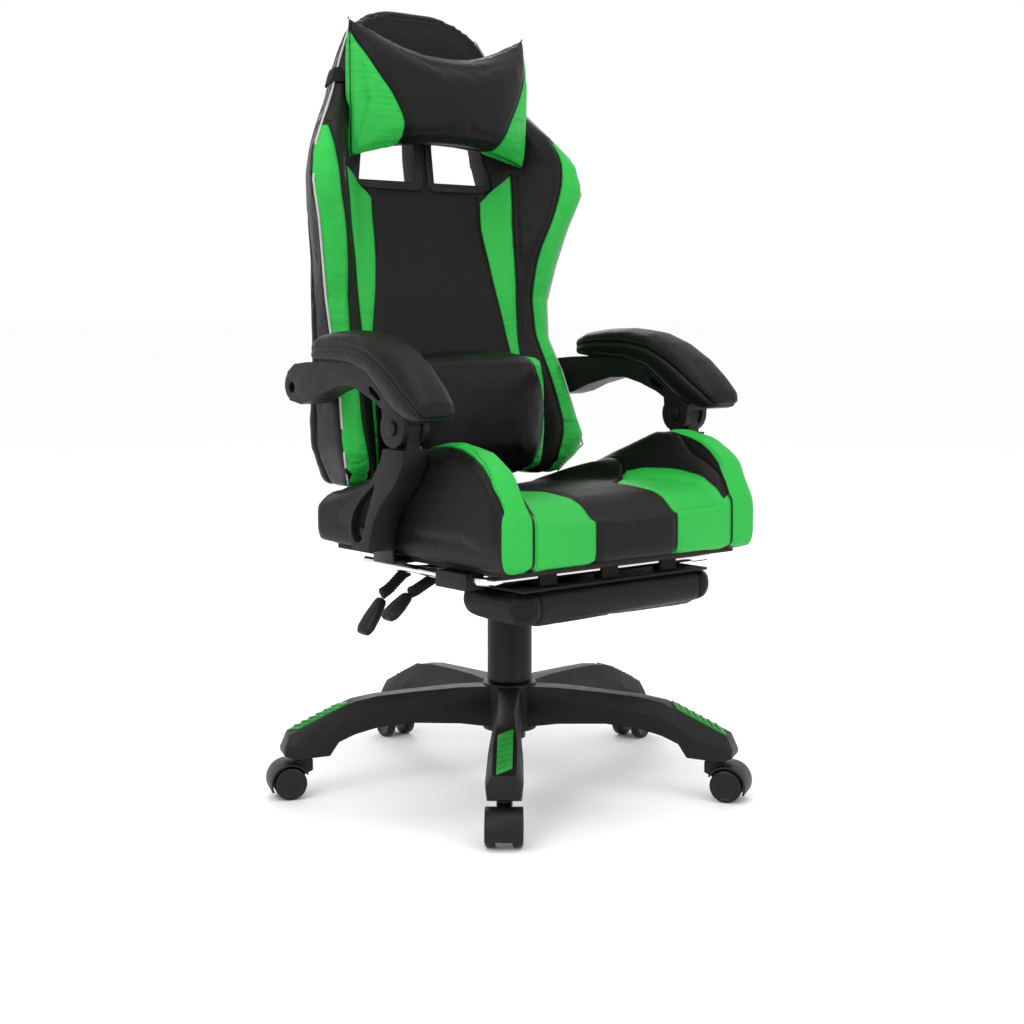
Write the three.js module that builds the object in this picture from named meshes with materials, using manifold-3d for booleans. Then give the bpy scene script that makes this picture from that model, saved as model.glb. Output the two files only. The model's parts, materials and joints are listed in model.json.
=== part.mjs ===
// A racing-style gaming chair: five-star base on twin-wheel castors, gas lift under a telescopic cover,
// bucket seat with a sliding and flipping footrest, reclining wing back, and armrests that follow the back.
// Millimetres, +Z up, the sitter faces -Y. The frame's origin is the middle of the footprint, on the floor.
import * as THREE from "three";
import { mergeVertices } from "three/addons/utils/BufferGeometryUtils.js";
import Module from "manifold-3d";

const wasm = await Module();
wasm.setup();

// ---------------------------------------------------------------- driving dimensions
const GAP = 0.4; // space kept between pieces that touch

// base and castors
const LEGS = 5;
const LEG_PHASE = THREE.MathUtils.degToRad(-131); // direction of the first leg
const LEG_TIP_RADIUS = 361;
const STEM_INSET = 33; // castor stem's axis, in from the leg's tip
const HUB_RADIUS = 42;
const HUB_TOP = 157;
const HUB_BOTTOM = 84;
const WHEEL_RADIUS = 25;
const WHEEL_WIDTH = 15.5;
const WHEEL_TRACK = 27; // outer face of a wheel, from the castor's middle
const CASTOR_TRAIL = 24; // wheel axle, behind the stem's axis
const STEM_RADIUS = 5.5;
const STEM_TOP = 96;
const AXLE_RADIUS = 3;

// gas lift and its cover
const LIFT_TUBE_RADIUS = 25;
const LIFT_TUBE_TOP = 288;
const LIFT_ROD_RADIUS = 14;
const LIFT_TRAVEL = 80;
const COVER_RADIUS = 35.5; // the outermost sleeve
const COVER_WALL = 2;
const COVER_STEP = 3; // each sleeve inside is smaller by this
const COVER_TOP = 328;

// under the seat
const SEAT_UNDERSIDE = 381; // bottom of the cushion's edge
const BOARD_THICKNESS = 9;
const BOARD_HALF_WIDTH = 222;
const MECHANISM_HEIGHT = 38;

// seat cushion
const SEAT_HALF_WIDTH = 249;
const SEAT_FRONT = -292;
const SEAT_REAR = 176;
const SEAT_PAN_HEIGHT = 474; // the pan's highest point
const BOLSTER_PEAK = 556;
const BOLSTER_WIDTH = 56; // a side bolster's width at the top

// backrest
const BACK_BOTTOM = 466;
const BACK_TOP = 1226;
const RECLINE_HINGE = { y: 180, z: 420 };
const HOLE_TOP = 1052;
const HOLE_BOTTOM = 948;
const HOLE_INNER = 18; // a belt hole's inner edge, from the middle
const HOLE_OUTER_TOP = 112;
const HOLE_OUTER_BOTTOM = 132;
const HOLE_TRIM = 6; // wall of the moulded ring in each hole
const HOLE_FLANGE = 7; // the ring's rim on the face, past its wall
const HOLE_POCKET = 20; // the rear shell stays this far from the holes' outer edges

// armrests
const ARM_INNER = SEAT_HALF_WIDTH + 8; // an upright's inner and outer faces, from the middle
const ARM_OUTER = ARM_INNER + 45;
const ARM_SPLAY = 0.065; // sideways lean of the pads, outwards to the front
const UPRIGHT_FOOT = { y: -16, z: 418 };
const ARM_PIVOT = { y: -105, z: 574 };
const ARM_LUG = { y: 178, z: 622 };
const ARM_BOSS_RADIUS = 28;
const PIVOT_PIN_RADIUS = 5;
const RECESS_DEPTH = 14; // the hollow round an upright's foot stud
const LUG_PIN_RADIUS = 4;
const LUG_CLEARANCE = 4.6; // the rear pivot is an open one: its hole is this much larger than the pin

// footrest
const RAIL_RADIUS = 6.5;
const RAIL_HALF_SPAN = 226;
const RAIL_HEIGHT = SEAT_UNDERSIDE - BOARD_THICKNESS - RAIL_RADIUS - 3.5;
const RAIL_FRONT = -222;
const RAIL_CORNER = 24;
const FOOTREST_TRAVEL = 180;
const FOOTREST_HALF_WIDTH = 198;
const FOOTREST_DEPTH = 156;
const FOOTREST_THICKNESS = 46;

// recline hinge
const BACK_HINGE_X = 150; // the ears' plane, from the middle
const HINGE_EAR = 14;
const HINGE_BOLT_RADIUS = 4.5;
const HINGE_ARM_THICKNESS = 5;
const LUG_PIN_END = ARM_INNER + 19; // the rear armrest pins' ends, from the middle

// ---------------------------------------------------------------- materials
const paint = (color, roughness, metalness = 0) =>
  new THREE.MeshStandardMaterial({ color, roughness, metalness });
const BLACK_LEATHER = paint(0x1b1a19, 0.5);
const BLACK_NYLON = paint(0x171716, 0.45);
const GREEN_PLASTIC = paint(0x0f8a24, 0.5);
const BLACK_STEEL = paint(0x161616, 0.4, 0.7);
const CHROME = paint(0xc9c6c6, 0.15, 1);
const RUBBER = paint(0x101010, 0.85);
const PLYWOOD = paint(0x9a7a50, 0.7);
const WEBBING = paint(0x0c0c0c, 0.9);
const LIGHT_GUIDE = paint(0xdedede, 0.35);

// ---------------------------------------------------------------- solids
// A geometry as a manifold-3d solid, with its faces turned outwards.
function solid(geometry) {
  const bare = geometry.index ? geometry.toNonIndexed() : geometry.clone();
  bare.deleteAttribute("normal");
  bare.deleteAttribute("uv");
  const merged = mergeVertices(bare, 1e-3);
  const triVerts = new Uint32Array(merged.index.array);
  const make = () => new wasm.Manifold(new wasm.Mesh({
    numProp: 3,
    vertProperties: merged.attributes.position.array,
    triVerts,
  }));
  const made = make();
  if (made.volume() >= 0) return made;
  for (let i = 0; i < triVerts.length; i += 3) {
    [triVerts[i + 1], triVerts[i + 2]] = [triVerts[i + 2], triVerts[i + 1]];
  }
  return make();
}

function geometryOf(made) {
  const mesh = made.getMesh();
  const count = mesh.numProp;
  const positions = new Float32Array(mesh.numVert * 3);
  for (let i = 0; i < mesh.numVert; i++) {
    positions.set(mesh.vertProperties.subarray(i * count, i * count + 3), i * 3);
  }
  return new THREE.BufferGeometry()
    .setAttribute("position", new THREE.BufferAttribute(positions, 3))
    .setIndex(new THREE.BufferAttribute(mesh.triVerts, 1));
}

const joined = (...geometries) => geometryOf(geometries.map(solid).reduce((all, next) => all.add(next)));
const cut = (geometry, ...tools) =>
  geometryOf(tools.map(solid).reduce((left, tool) => left.subtract(tool), solid(geometry)));

// A closed solid through rings of points, each ring an array of [x, y, z] of one length.
function loft(rings) {
  const size = rings[0].length;
  const points = rings.flat();
  const faces = [];
  for (let r = 0; r < rings.length - 1; r++) {
    for (let i = 0; i < size; i++) {
      const a = r * size + i;
      const b = r * size + ((i + 1) % size);
      faces.push(a, b, b + size, a, b + size, a + size);
    }
  }
  [0, rings.length - 1].forEach((r) => {
    const centre = [0, 1, 2].map((k) => rings[r].reduce((sum, p) => sum + p[k], 0) / size);
    const middle = points.push(centre) - 1;
    for (let i = 0; i < size; i++) {
      const a = r * size + i;
      const b = r * size + ((i + 1) % size);
      faces.push(...(r === 0 ? [middle, b, a] : [middle, a, b]));
    }
  });
  const geometry = new THREE.BufferGeometry()
    .setAttribute("position", new THREE.Float32BufferAttribute(points.flat(), 3))
    .setIndex(faces);
  return geometryOf(solid(geometry));
}

const box = (x0, x1, y0, y1, z0, z1) =>
  new THREE.BoxGeometry(x1 - x0, y1 - y0, z1 - z0)
    .translate((x0 + x1) / 2, (y0 + y1) / 2, (z0 + z1) / 2);

// A cylinder on +Z from z0 to z1.
const rod = (radius, z0, z1, sides = 20) =>
  new THREE.CylinderGeometry(radius, radius, z1 - z0, sides)
    .rotateX(Math.PI / 2)
    .translate(0, 0, (z0 + z1) / 2);

// A cylinder along X between x0 and x1, on the axis through (y, z).
const pin = (radius, x0, x1, y, z, sides = 12) =>
  new THREE.CylinderGeometry(radius, radius, x1 - x0, sides)
    .rotateZ(Math.PI / 2)
    .translate((x0 + x1) / 2, y, z);

// A sleeve on +Z.
const sleeve = (outer, inner, z0, z1, sides = 24) => {
  const profile = [[inner, z0], [outer, z0], [outer, z1], [inner, z1], [inner, z0]];
  return new THREE.LatheGeometry(profile.map(([r, z]) => new THREE.Vector2(r, z)), sides).rotateX(Math.PI / 2);
};

// A side-view outline of [y, z] points, or a THREE.Shape in (y, z), made x0 to x1 thick.
function plate(outline, x0, x1, curveSegments = 8) {
  const shape = Array.isArray(outline)
    ? new THREE.Shape(outline.map(([y, z]) => new THREE.Vector2(y, z)))
    : outline;
  return new THREE.ExtrudeGeometry(shape, { depth: x1 - x0, bevelEnabled: false, curveSegments })
    .rotateY(Math.PI / 2)
    .rotateX(Math.PI / 2)
    .translate(x0, 0, 0);
}

// A right-hand copy (sign -1) of a piece drawn on the left.
const mirrored = (geometry, sign) =>
  (sign > 0 ? geometry : geometryOf(solid(geometry.clone().scale(-1, 1, 1))));

// A round bar along a list of points.
function bar(points, radius, { sides = 10, steps = 40, round = 0.5 } = {}) {
  const section = new THREE.Shape();
  section.absarc(0, 0, radius, 0, Math.PI * 2);
  const through = points.map((p) => new THREE.Vector3(...p));
  const extrudePath = new THREE.CatmullRomCurve3(through, false, "catmullrom", round);
  const settings = { steps, bevelEnabled: false, extrudePath, curveSegments: sides / 2 };
  return new THREE.ExtrudeGeometry(section, settings);
}

// Piecewise-linear look-up with eased corners: table of [position, value] pairs.
function along(table, at) {
  if (at <= table[0][0]) return table[0][1];
  for (let i = 1; i < table.length; i++) {
    if (at > table[i][0]) continue;
    const [p0, v0] = table[i - 1];
    const [p1, v1] = table[i];
    const t = (at - p0) / (p1 - p0);
    return v0 + (v1 - v0) * t * t * (3 - 2 * t);
  }
  return table[table.length - 1][1];
}

const chair = new THREE.Group();

function piece(name, geometry, material, parent = chair) {
  const mesh = new THREE.Mesh(geometry, material);
  mesh.name = name;
  parent.add(mesh);
  return mesh;
}

// ---------------------------------------------------------------- five-star base
// A leg's side profile: [radius, underside, top, half width below, half width above].
const LEG_STATIONS = [
  [12, 86, 153, 21, 17],
  [86, 99, 155, 21, 15],
  [163, 105, 152, 20, 12],
  [215, 102, 149, 21, 12],
  [252, 94, 143, 23, 14],
  [278, 84, 132, 25, 16],
  [292, 64, 126, 26, 17],
  [338, 62, 105, 27, 17],
  [352, 64, 99, 26, 16],
  [LEG_TIP_RADIUS, 68, 78, 24, 15],
];
const LEG_SHOULDER = 0.55; // height of the leg's side crease, as a share of its depth
const INSERT_START = 266;
const INSERT_END = 344;
const INSERT_HALF_WIDTH = 11;
const INSERT_SKEW = 7;
const INSERT_THICKNESS = 5;
const STEM_RING = LEG_TIP_RADIUS - STEM_INSET;
const INSERT_SLOPE = Math.atan2(138 - 102, INSERT_END - INSERT_START);

function legGeometry() {
  return loft(LEG_STATIONS.map(([r, low, high, wide, narrow]) => {
    const shoulder = low + (high - low) * LEG_SHOULDER;
    const right = [[narrow, high], [wide, shoulder], [wide * 0.92, low]];
    const left = right.map(([y, z]) => [-y, z]).reverse();
    return [...right, ...left].map(([y, z]) => [r, y, z]);
  }));
}

// The coloured plate let into a leg's sloping top, a parallelogram; grow widens it for its recess.
function insertGeometry(grow = 0, depth = INSERT_THICKNESS) {
  const length = (INSERT_END - INSERT_START) / Math.cos(INSERT_SLOPE) / 2 + grow;
  const half = INSERT_HALF_WIDTH + grow;
  const skew = INSERT_SKEW;
  const front = [[-length + skew, -half], [length + skew, -half]];
  const outline = [...front, ...front.map(([x, y]) => [-x, -y])];
  const shape = new THREE.Shape(outline.map(([x, y]) => new THREE.Vector2(x, y)));
  const centre = (INSERT_START + INSERT_END) / 2;
  return new THREE.ExtrudeGeometry(shape, { depth, bevelEnabled: false })
    .translate(0, 0, -depth + 1.5)
    .rotateY(INSERT_SLOPE)
    .translate(centre, 0, 121);
}

function starBase() {
  const parts = [rod(HUB_RADIUS, HUB_BOTTOM, HUB_TOP, 24)];
  const cuts = [rod(LIFT_TUBE_RADIUS + GAP, HUB_BOTTOM - 10, HUB_TOP + 10, 24)];
  for (let k = 0; k < LEGS; k++) {
    const turn = LEG_PHASE + (k * 2 * Math.PI) / LEGS;
    parts.push(legGeometry().rotateZ(turn));
    cuts.push(insertGeometry(GAP, INSERT_THICKNESS + GAP).rotateZ(turn));
    cuts.push(rod(STEM_RADIUS + GAP, 40, STEM_TOP + 2, 10).translate(STEM_RING, 0, 0).rotateZ(turn));
  }
  return cut(joined(...parts), ...cuts);
}

piece("star_base", starBase(), BLACK_NYLON);
for (let k = 0; k < LEGS; k++) {
  const insert = piece(`leg_insert_${k + 1}`, insertGeometry(), GREEN_PLASTIC);
  insert.rotation.z = LEG_PHASE + (k * 2 * Math.PI) / LEGS;
}

// ---------------------------------------------------------------- castors
const HOOD_RADIUS = WHEEL_RADIUS + 5.5;
const HOOD_WALL = 3;
const WEB_HALF = 10; // half width of the moulding between the wheels

// The fork, hood and stem of a castor, its stem on +Z and its wheels behind on +X.
function castorYoke() {
  const hood = new THREE.Shape();
  const from = THREE.MathUtils.degToRad(-22);
  const to = THREE.MathUtils.degToRad(152);
  hood.absarc(0, 0, HOOD_RADIUS, from, to, false);
  hood.absarc(0, 0, HOOD_RADIUS - HOOD_WALL, to, from, true);
  const shell = plate(hood, -WHEEL_TRACK + 0.5, WHEEL_TRACK - 0.5, 7);
  const web = [[-CASTOR_TRAIL - 12, 32], [-CASTOR_TRAIL - 12, 16], [-CASTOR_TRAIL + 4, 8], [-8, -4],
    [-4, -8], [5, -8], [10, 0], [HOOD_RADIUS - 4, 4], [20, 20], [4, HOOD_RADIUS - 1.5], [-12, 32]];
  const middle = plate(web, -WEB_HALF, WEB_HALF);
  const fork = joined(shell, middle);
  // The plate helper thickens along X: turn it so that the trail runs along +X.
  const turned = fork.rotateZ(-Math.PI / 2).translate(CASTOR_TRAIL, 0, WHEEL_RADIUS);
  const stem = rod(STEM_RADIUS, WHEEL_RADIUS + 28, STEM_TOP, 10);
  const collar = rod(11.5, WHEEL_RADIUS + 26, 61.5, 12);
  const bore = new THREE.CylinderGeometry(AXLE_RADIUS + GAP, AXLE_RADIUS + GAP, 80, 8)
    .translate(CASTOR_TRAIL, 0, WHEEL_RADIUS);
  return cut(joined(turned, collar, stem), bore);
}

// Two wheels on one axle, along Y, with a flat facet on the floor.
function castorWheels() {
  const sides = 16;
  const tread = WHEEL_RADIUS / Math.cos(Math.PI / sides);
  const inner = WHEEL_TRACK - WHEEL_WIDTH;
  const half = [[tread - 4, WHEEL_TRACK], [tread, WHEEL_TRACK - 4], [tread, inner], [AXLE_RADIUS - 0.3, inner]];
  const near = half.map(([r, w]) => [r, -w]);
  const profile = [[0, -WHEEL_TRACK], ...near, ...[...half].reverse(), [0, WHEEL_TRACK]];
  return new THREE.LatheGeometry(profile.map(([r, w]) => new THREE.Vector2(r, w)), sides)
    .rotateY(Math.PI / sides)
    .translate(CASTOR_TRAIL, 0, WHEEL_RADIUS);
}

const yokeShape = castorYoke();
const wheelShape = castorWheels();
const castorPivots = {};
for (let k = 0; k < LEGS; k++) {
  const turn = LEG_PHASE + (k * 2 * Math.PI) / LEGS;
  const castor = new THREE.Group();
  castor.position.set(STEM_RING * Math.cos(turn), STEM_RING * Math.sin(turn), 0);
  castor.rotation.z = turn;
  chair.add(castor);
  piece(`castor_yoke_${k + 1}`, yokeShape, BLACK_NYLON, castor);
  piece(`castor_wheels_${k + 1}`, wheelShape, BLACK_NYLON, castor);
  const up = new THREE.Vector3(0, 0, 1);
  const axle = new THREE.Vector3(CASTOR_TRAIL, 0, WHEEL_RADIUS).applyAxisAngle(up, turn);
  castorPivots[`castor_${k + 1}`] = {
    stem: [castor.position.x, castor.position.y, 0],
    axle: [castor.position.x + axle.x, castor.position.y + axle.y, WHEEL_RADIUS],
    axis: [-Math.sin(turn), Math.cos(turn), 0],
  };
}

// ---------------------------------------------------------------- gas lift
const MECHANISM_TOP = SEAT_UNDERSIDE - BOARD_THICKNESS - GAP;
const MECHANISM_BOTTOM = MECHANISM_TOP - MECHANISM_HEIGHT;
const ROD_TOP = MECHANISM_BOTTOM + 12;

piece("gas_lift_tube", sleeve(LIFT_TUBE_RADIUS, LIFT_ROD_RADIUS + GAP, 68, LIFT_TUBE_TOP), BLACK_STEEL);
piece("gas_lift_rod", rod(LIFT_ROD_RADIUS, LIFT_TUBE_TOP - LIFT_TRAVEL - 110, ROD_TOP), BLACK_STEEL);
const COVERS = [["upper", COVER_TOP, 3], ["middle", COVER_TOP - 26, 5], ["lower", COVER_TOP - 48, 1]];
COVERS.forEach(([name, top, lift], i) => {
  const outer = COVER_RADIUS - i * COVER_STEP;
  piece(`lift_cover_${name}`, sleeve(outer, outer - COVER_WALL, HUB_TOP + lift, top), BLACK_NYLON);
});

// ---------------------------------------------------------------- mechanism, board and brackets under the seat
const SOCKET_RADIUS = 24;

// The ear that carries the back's hinge, one each side behind the board.
function hingeEar(sign) {
  const { y, z } = RECLINE_HINGE;
  const under = [[70, MECHANISM_TOP - 14], [158, MECHANISM_TOP - 14], [y + 10, z - 22]];
  const eye = [[y + HINGE_EAR, z], [y + 8, z + 12], [y - 8, z + 12], [y - HINGE_EAR, z]];
  const over = [[y - HINGE_EAR, z - 20], [152, MECHANISM_TOP], [70, MECHANISM_TOP]];
  const outline = [...under, ...eye, ...over];
  return plate(outline, sign * BACK_HINGE_X - 3, sign * BACK_HINGE_X + 3);
}

// The pressed-steel box under the board: gas lift socket, lever slots and hinge ears.
function mechanism() {
  const housing = box(-72, 72, -95, 105, MECHANISM_BOTTOM, MECHANISM_TOP - 4);
  const top = box(-100, 100, -130, 130, MECHANISM_TOP - 4.5, MECHANISM_TOP);
  const socket = rod(SOCKET_RADIUS, MECHANISM_BOTTOM - 30, MECHANISM_BOTTOM + 4, 24);
  const cross = box(-BACK_HINGE_X, BACK_HINGE_X, 70, 100, MECHANISM_TOP - 12, MECHANISM_TOP);
  const bore = rod(LIFT_ROD_RADIUS + GAP, MECHANISM_BOTTOM - 40, ROD_TOP + 1, 24);
  const slots = LEVERS.map((l) => box(-80, -58, l.y - 5, l.y + 5, LEVER_PIVOT.z - 8, LEVER_PIVOT.z + 8));
  const hinges = pin(HINGE_BOLT_RADIUS + GAP, -300, 300, RECLINE_HINGE.y, RECLINE_HINGE.z);
  return cut(joined(housing, top, socket, cross, hingeEar(-1), hingeEar(1)), bore, hinges, ...slots);
}

// Both levers leave the mechanism on the sitter's right and bend down to their paddles: [x, z] points.
const LEVER_PIVOT = { x: -70, z: 350 };
const LEVERS = [
  {
    name: "height_lever",
    y: 6,
    path: [[-110, 350], [-160, 352], [-194, 353], [-219, 335], [-240, 314]],
    tip: [-277, 264],
  },
  {
    name: "recline_lever",
    y: -42,
    path: [[-110, 350], [-140, 351], [-170, 348], [-200, 336], [-226, 324]],
    tip: [-268, 292],
  },
];
const LEVER_ROD_RADIUS = 4;
const BELLOWS_RADIUS = 9;
const leverLine = (l) => [[-64, l.y, LEVER_PIVOT.z], ...l.path.map(([x, z]) => [x, l.y, z])];

// The steel rod of a lever, from the mechanism out to its paddle.
const leverRod = (l) => cut(bar(leverLine(l), LEVER_ROD_RADIUS, { sides: 8, steps: 18 }), leverPaddle(l));

// The ribbed rubber sleeve over a lever's bent part.
function leverBellows(l) {
  const from = new THREE.Vector3(l.path[2][0], l.y, l.path[2][1]);
  const to = new THREE.Vector3(l.path[4][0], l.y, l.path[4][1]);
  const centre = new THREE.CatmullRomCurve3([from, new THREE.Vector3(l.path[3][0], l.y, l.path[3][1]), to]);
  const ribs = 6;
  const rings = [];
  for (let i = 0; i <= ribs * 2; i++) {
    const t = i / (ribs * 2);
    const at = centre.getPoint(t);
    const tangent = centre.getTangent(t);
    const side = new THREE.Vector3(-tangent.z, 0, tangent.x);
    const radius = i % 2 ? BELLOWS_RADIUS : BELLOWS_RADIUS - 2;
    rings.push(Array.from({ length: 8 }, (_, k) => {
      const a = (k / 8) * Math.PI * 2;
      const p = at.clone().addScaledVector(side, radius * Math.cos(a));
      return [p.x, p.y + radius * Math.sin(a), p.z];
    }));
  }
  const hole = bar(leverLine(l), LEVER_ROD_RADIUS + GAP, { sides: 8, steps: 18 });
  return cut(loft(rings), hole);
}

// The moulded paddle at a lever's end, clear of the bellows.
function leverPaddle(l) {
  const [x0, z0] = l.path[4];
  const start = new THREE.Vector2(x0, z0);
  const dir = new THREE.Vector2(l.tip[0] - x0, l.tip[1] - z0).normalize();
  const normal = new THREE.Vector2(-dir.y, dir.x);
  const length = new THREE.Vector2(...l.tip).distanceTo(start);
  const stations = [[2, 6, 7], [8, 8, 10], [length * 0.5, 9, 15], [length * 0.85, 9, 16], [length, 6, 12]];
  return loft(stations.map(([s, thick, wide]) => {
    const c = start.clone().addScaledVector(dir, s);
    const octagon = [[-1, -0.5], [-0.5, -1], [0.5, -1], [1, -0.5], [1, 0.5], [0.5, 1], [-0.5, 1], [-1, 0.5]];
    return octagon.map(([a, b]) => {
      const p = c.clone().addScaledVector(normal, a * thick);
      return [p.x, l.y + b * wide, p.y];
    });
  }));
}

const BRACKET_BOTTOM = 369.5;
const BRACKET_THICKNESS = 6;
const BRACKET_HALF_DEPTH = 24;
const STUD_HEAD_RADIUS = 8;

// An arm's steel foot: a flat under the board, a cheek up the cushion's side and the stud the arm turns on.
function armBracket(sign) {
  const { y, z } = UPRIGHT_FOOT;
  const outer = ARM_INNER - 1.5;
  const [y0, y1] = [y - BRACKET_HALF_DEPTH, y + BRACKET_HALF_DEPTH];
  const recess = ARM_OUTER - RECESS_DEPTH;
  const foot = box(150, outer, y0, y1, BRACKET_BOTTOM, BRACKET_BOTTOM + BRACKET_THICKNESS);
  const cheek = box(outer - 5.5, outer, y0, y1, BRACKET_BOTTOM, z + 14);
  const stud = pin(PIVOT_PIN_RADIUS, outer - 2, recess - 1, y, z);
  const head = pin(STUD_HEAD_RADIUS, recess + GAP, recess + 6, y, z);
  const neck = pin(PIVOT_PIN_RADIUS, recess - 2, recess + 2, y, z);
  return mirrored(joined(foot, cheek, stud, neck, head), sign);
}

// The plywood under the cushion, let in for the arms' feet.
function seatBoard() {
  const { y } = UPRIGHT_FOOT;
  const half = BRACKET_HALF_DEPTH + GAP;
  const bottom = SEAT_UNDERSIDE - BOARD_THICKNESS;
  const board = box(-BOARD_HALF_WIDTH, BOARD_HALF_WIDTH, -268, 150, bottom, SEAT_UNDERSIDE - GAP);
  const rebate = box(149, 260, y - half, y + half, 360, BRACKET_BOTTOM + BRACKET_THICKNESS + GAP);
  const rebates = [-1, 1].map((sign) => mirrored(rebate, sign));
  return cut(board, ...rebates);
}

piece("tilt_mechanism", mechanism(), BLACK_STEEL);
piece("seat_board", seatBoard(), PLYWOOD);
[["right", -1], ["left", 1]].forEach(([side, sign]) => {
  piece(`arm_bracket_${side}`, armBracket(sign), BLACK_STEEL);
});
LEVERS.forEach((l) => {
  piece(`${l.name}_rod`, leverRod(l), BLACK_STEEL);
  piece(`${l.name}_bellows`, leverBellows(l), RUBBER);
  piece(`${l.name}_paddle`, leverPaddle(l), BLACK_NYLON);
});

// ---------------------------------------------------------------- seat cushion
// Height of the bolsters' crest along the seat, and of the pan between them: [y, z].
const BOLSTER_LINE = [
  [SEAT_FRONT, 470], [-262, 520], [-219, 546], [-163, BOLSTER_PEAK],
  [-105, 550], [-20, 520], [70, 482], [SEAT_REAR, 460],
];
const PAN_LINE = [
  [SEAT_FRONT, 436], [-272, 461], [-238, 470], [-190, SEAT_PAN_HEIGHT], [-140, 472], [0, 458], [SEAT_REAR, 446],
];

function seatCushion() {
  const inside = [-284, -262, -238, -219, -190, -163, -140, -105, -40, 30, 100, 150];
  const ys = [SEAT_FRONT, ...inside, SEAT_REAR - 6, SEAT_REAR];
  const rings = ys.map((y, i) => {
    const end = i === 0 ? 8 : i === ys.length - 1 ? 8 : 0; // the first and last rings are a little smaller
    const crest = along(BOLSTER_LINE, y) - end;
    const pan = Math.min(along(PAN_LINE, y), crest - 4) - end;
    const w = SEAT_HALF_WIDTH - end * 0.4;
    const inner = w - BOLSTER_WIDTH;
    const flat = [[0, pan], [inner - 60, pan], [inner - 12, pan + 2]];
    const rise = [[inner + 2, (pan + crest) / 2], [inner + 12, crest - 6]];
    const bolster = [...rise, [inner + 28, crest], [w - 12, crest - 4]];
    const side = [[w, crest - 22], [w, SEAT_UNDERSIDE + 20], [w - 6, SEAT_UNDERSIDE + end]];
    const half = [...flat, ...bolster, ...side];
    const left = half.slice(1).map(([x, z]) => [-x, z]).reverse();
    return [...half, ...left].map(([x, z]) => [x, y, z]);
  });
  return loft(rings);
}

// Room behind the cushion for the hinge ears and their bolts.
const NOTCH_FRONT = RECLINE_HINGE.y - HINGE_EAR - 12;
const earNotch = box(BACK_HINGE_X - 11, BACK_HINGE_X + 24, NOTCH_FRONT, 300, 300, 440.5);
const earNotches = [-1, 1].map((sign) => mirrored(earNotch, sign));

piece("seat_cushion", cut(seatCushion(), ...earNotches), BLACK_LEATHER);

// ---------------------------------------------------------------- footrest
const GUIDE_FRONT = RAIL_FRONT + RAIL_CORNER + 2;
const GUIDE_REAR = GUIDE_FRONT + 70;
const RAIL_REAR = GUIDE_REAR + FOOTREST_TRAVEL + 14;

function railPath(inset = 0) {
  const s = RAIL_HALF_SPAN - inset;
  const path = new THREE.CurvePath();
  const bend = (...points) => new THREE.QuadraticBezierCurve3(...points.map((p) => new THREE.Vector3(...p)));
  const [inX, inY] = [s - RAIL_CORNER, RAIL_FRONT + RAIL_CORNER];
  const line = (a, b) => new THREE.LineCurve3(new THREE.Vector3(...a), new THREE.Vector3(...b));
  path.add(line([-s, RAIL_REAR, RAIL_HEIGHT], [-s, RAIL_FRONT + RAIL_CORNER, RAIL_HEIGHT]));
  path.add(bend([-s, inY, RAIL_HEIGHT], [-s, RAIL_FRONT, RAIL_HEIGHT], [-inX, RAIL_FRONT, RAIL_HEIGHT]));
  path.add(line([-s + RAIL_CORNER, RAIL_FRONT, RAIL_HEIGHT], [s - RAIL_CORNER, RAIL_FRONT, RAIL_HEIGHT]));
  path.add(bend([inX, RAIL_FRONT, RAIL_HEIGHT], [s, RAIL_FRONT, RAIL_HEIGHT], [s, inY, RAIL_HEIGHT]));
  path.add(line([s, RAIL_FRONT + RAIL_CORNER, RAIL_HEIGHT], [s, RAIL_REAR, RAIL_HEIGHT]));
  return path;
}

// The chromed loop: rings of points square to the path, closer together round the corners.
function footrestFrame() {
  const path = railPath();
  const around = 10;
  const total = path.getLength();
  const straight = RAIL_REAR - RAIL_FRONT - RAIL_CORNER;
  const bend = (total - 2 * straight - 2 * (RAIL_HALF_SPAN - RAIL_CORNER)) / 2;
  const marks = [0];
  for (let i = 0; i <= 4; i++) marks.push(straight + (bend * i) / 4);
  for (let i = 0; i <= 4; i++) marks.push(total - straight - bend + (bend * i) / 4);
  marks.push(total);
  return loft(marks.map((m) => {
    const at = path.getPointAt(m / total);
    const tangent = path.getTangentAt(Math.min(Math.max(m / total, 0.001), 0.999));
    const side = new THREE.Vector3(-tangent.y, tangent.x, 0);
    return Array.from({ length: around }, (_, k) => {
      const a = (k / around) * Math.PI * 2;
      const p = at.clone().addScaledVector(side, RAIL_RADIUS * Math.cos(a));
      return [p.x, p.y, p.z + RAIL_RADIUS * Math.sin(a)];
    });
  }));
}

// A nylon guide screwed under the board, which the rail slides through.
function railGuide(sign) {
  const x = sign * RAIL_HALF_SPAN;
  const half = RAIL_RADIUS + 9.5;
  const top = SEAT_UNDERSIDE - BOARD_THICKNESS - GAP;
  const block = box(x - half, x + half, GUIDE_FRONT, GUIDE_REAR, RAIL_HEIGHT - RAIL_RADIUS - 7.5, top);
  const room = RAIL_RADIUS + GAP;
  const bore = new THREE.CylinderGeometry(room, room, 400, 20).translate(x, GUIDE_FRONT, RAIL_HEIGHT);
  return cut(block, bore);
}

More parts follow.
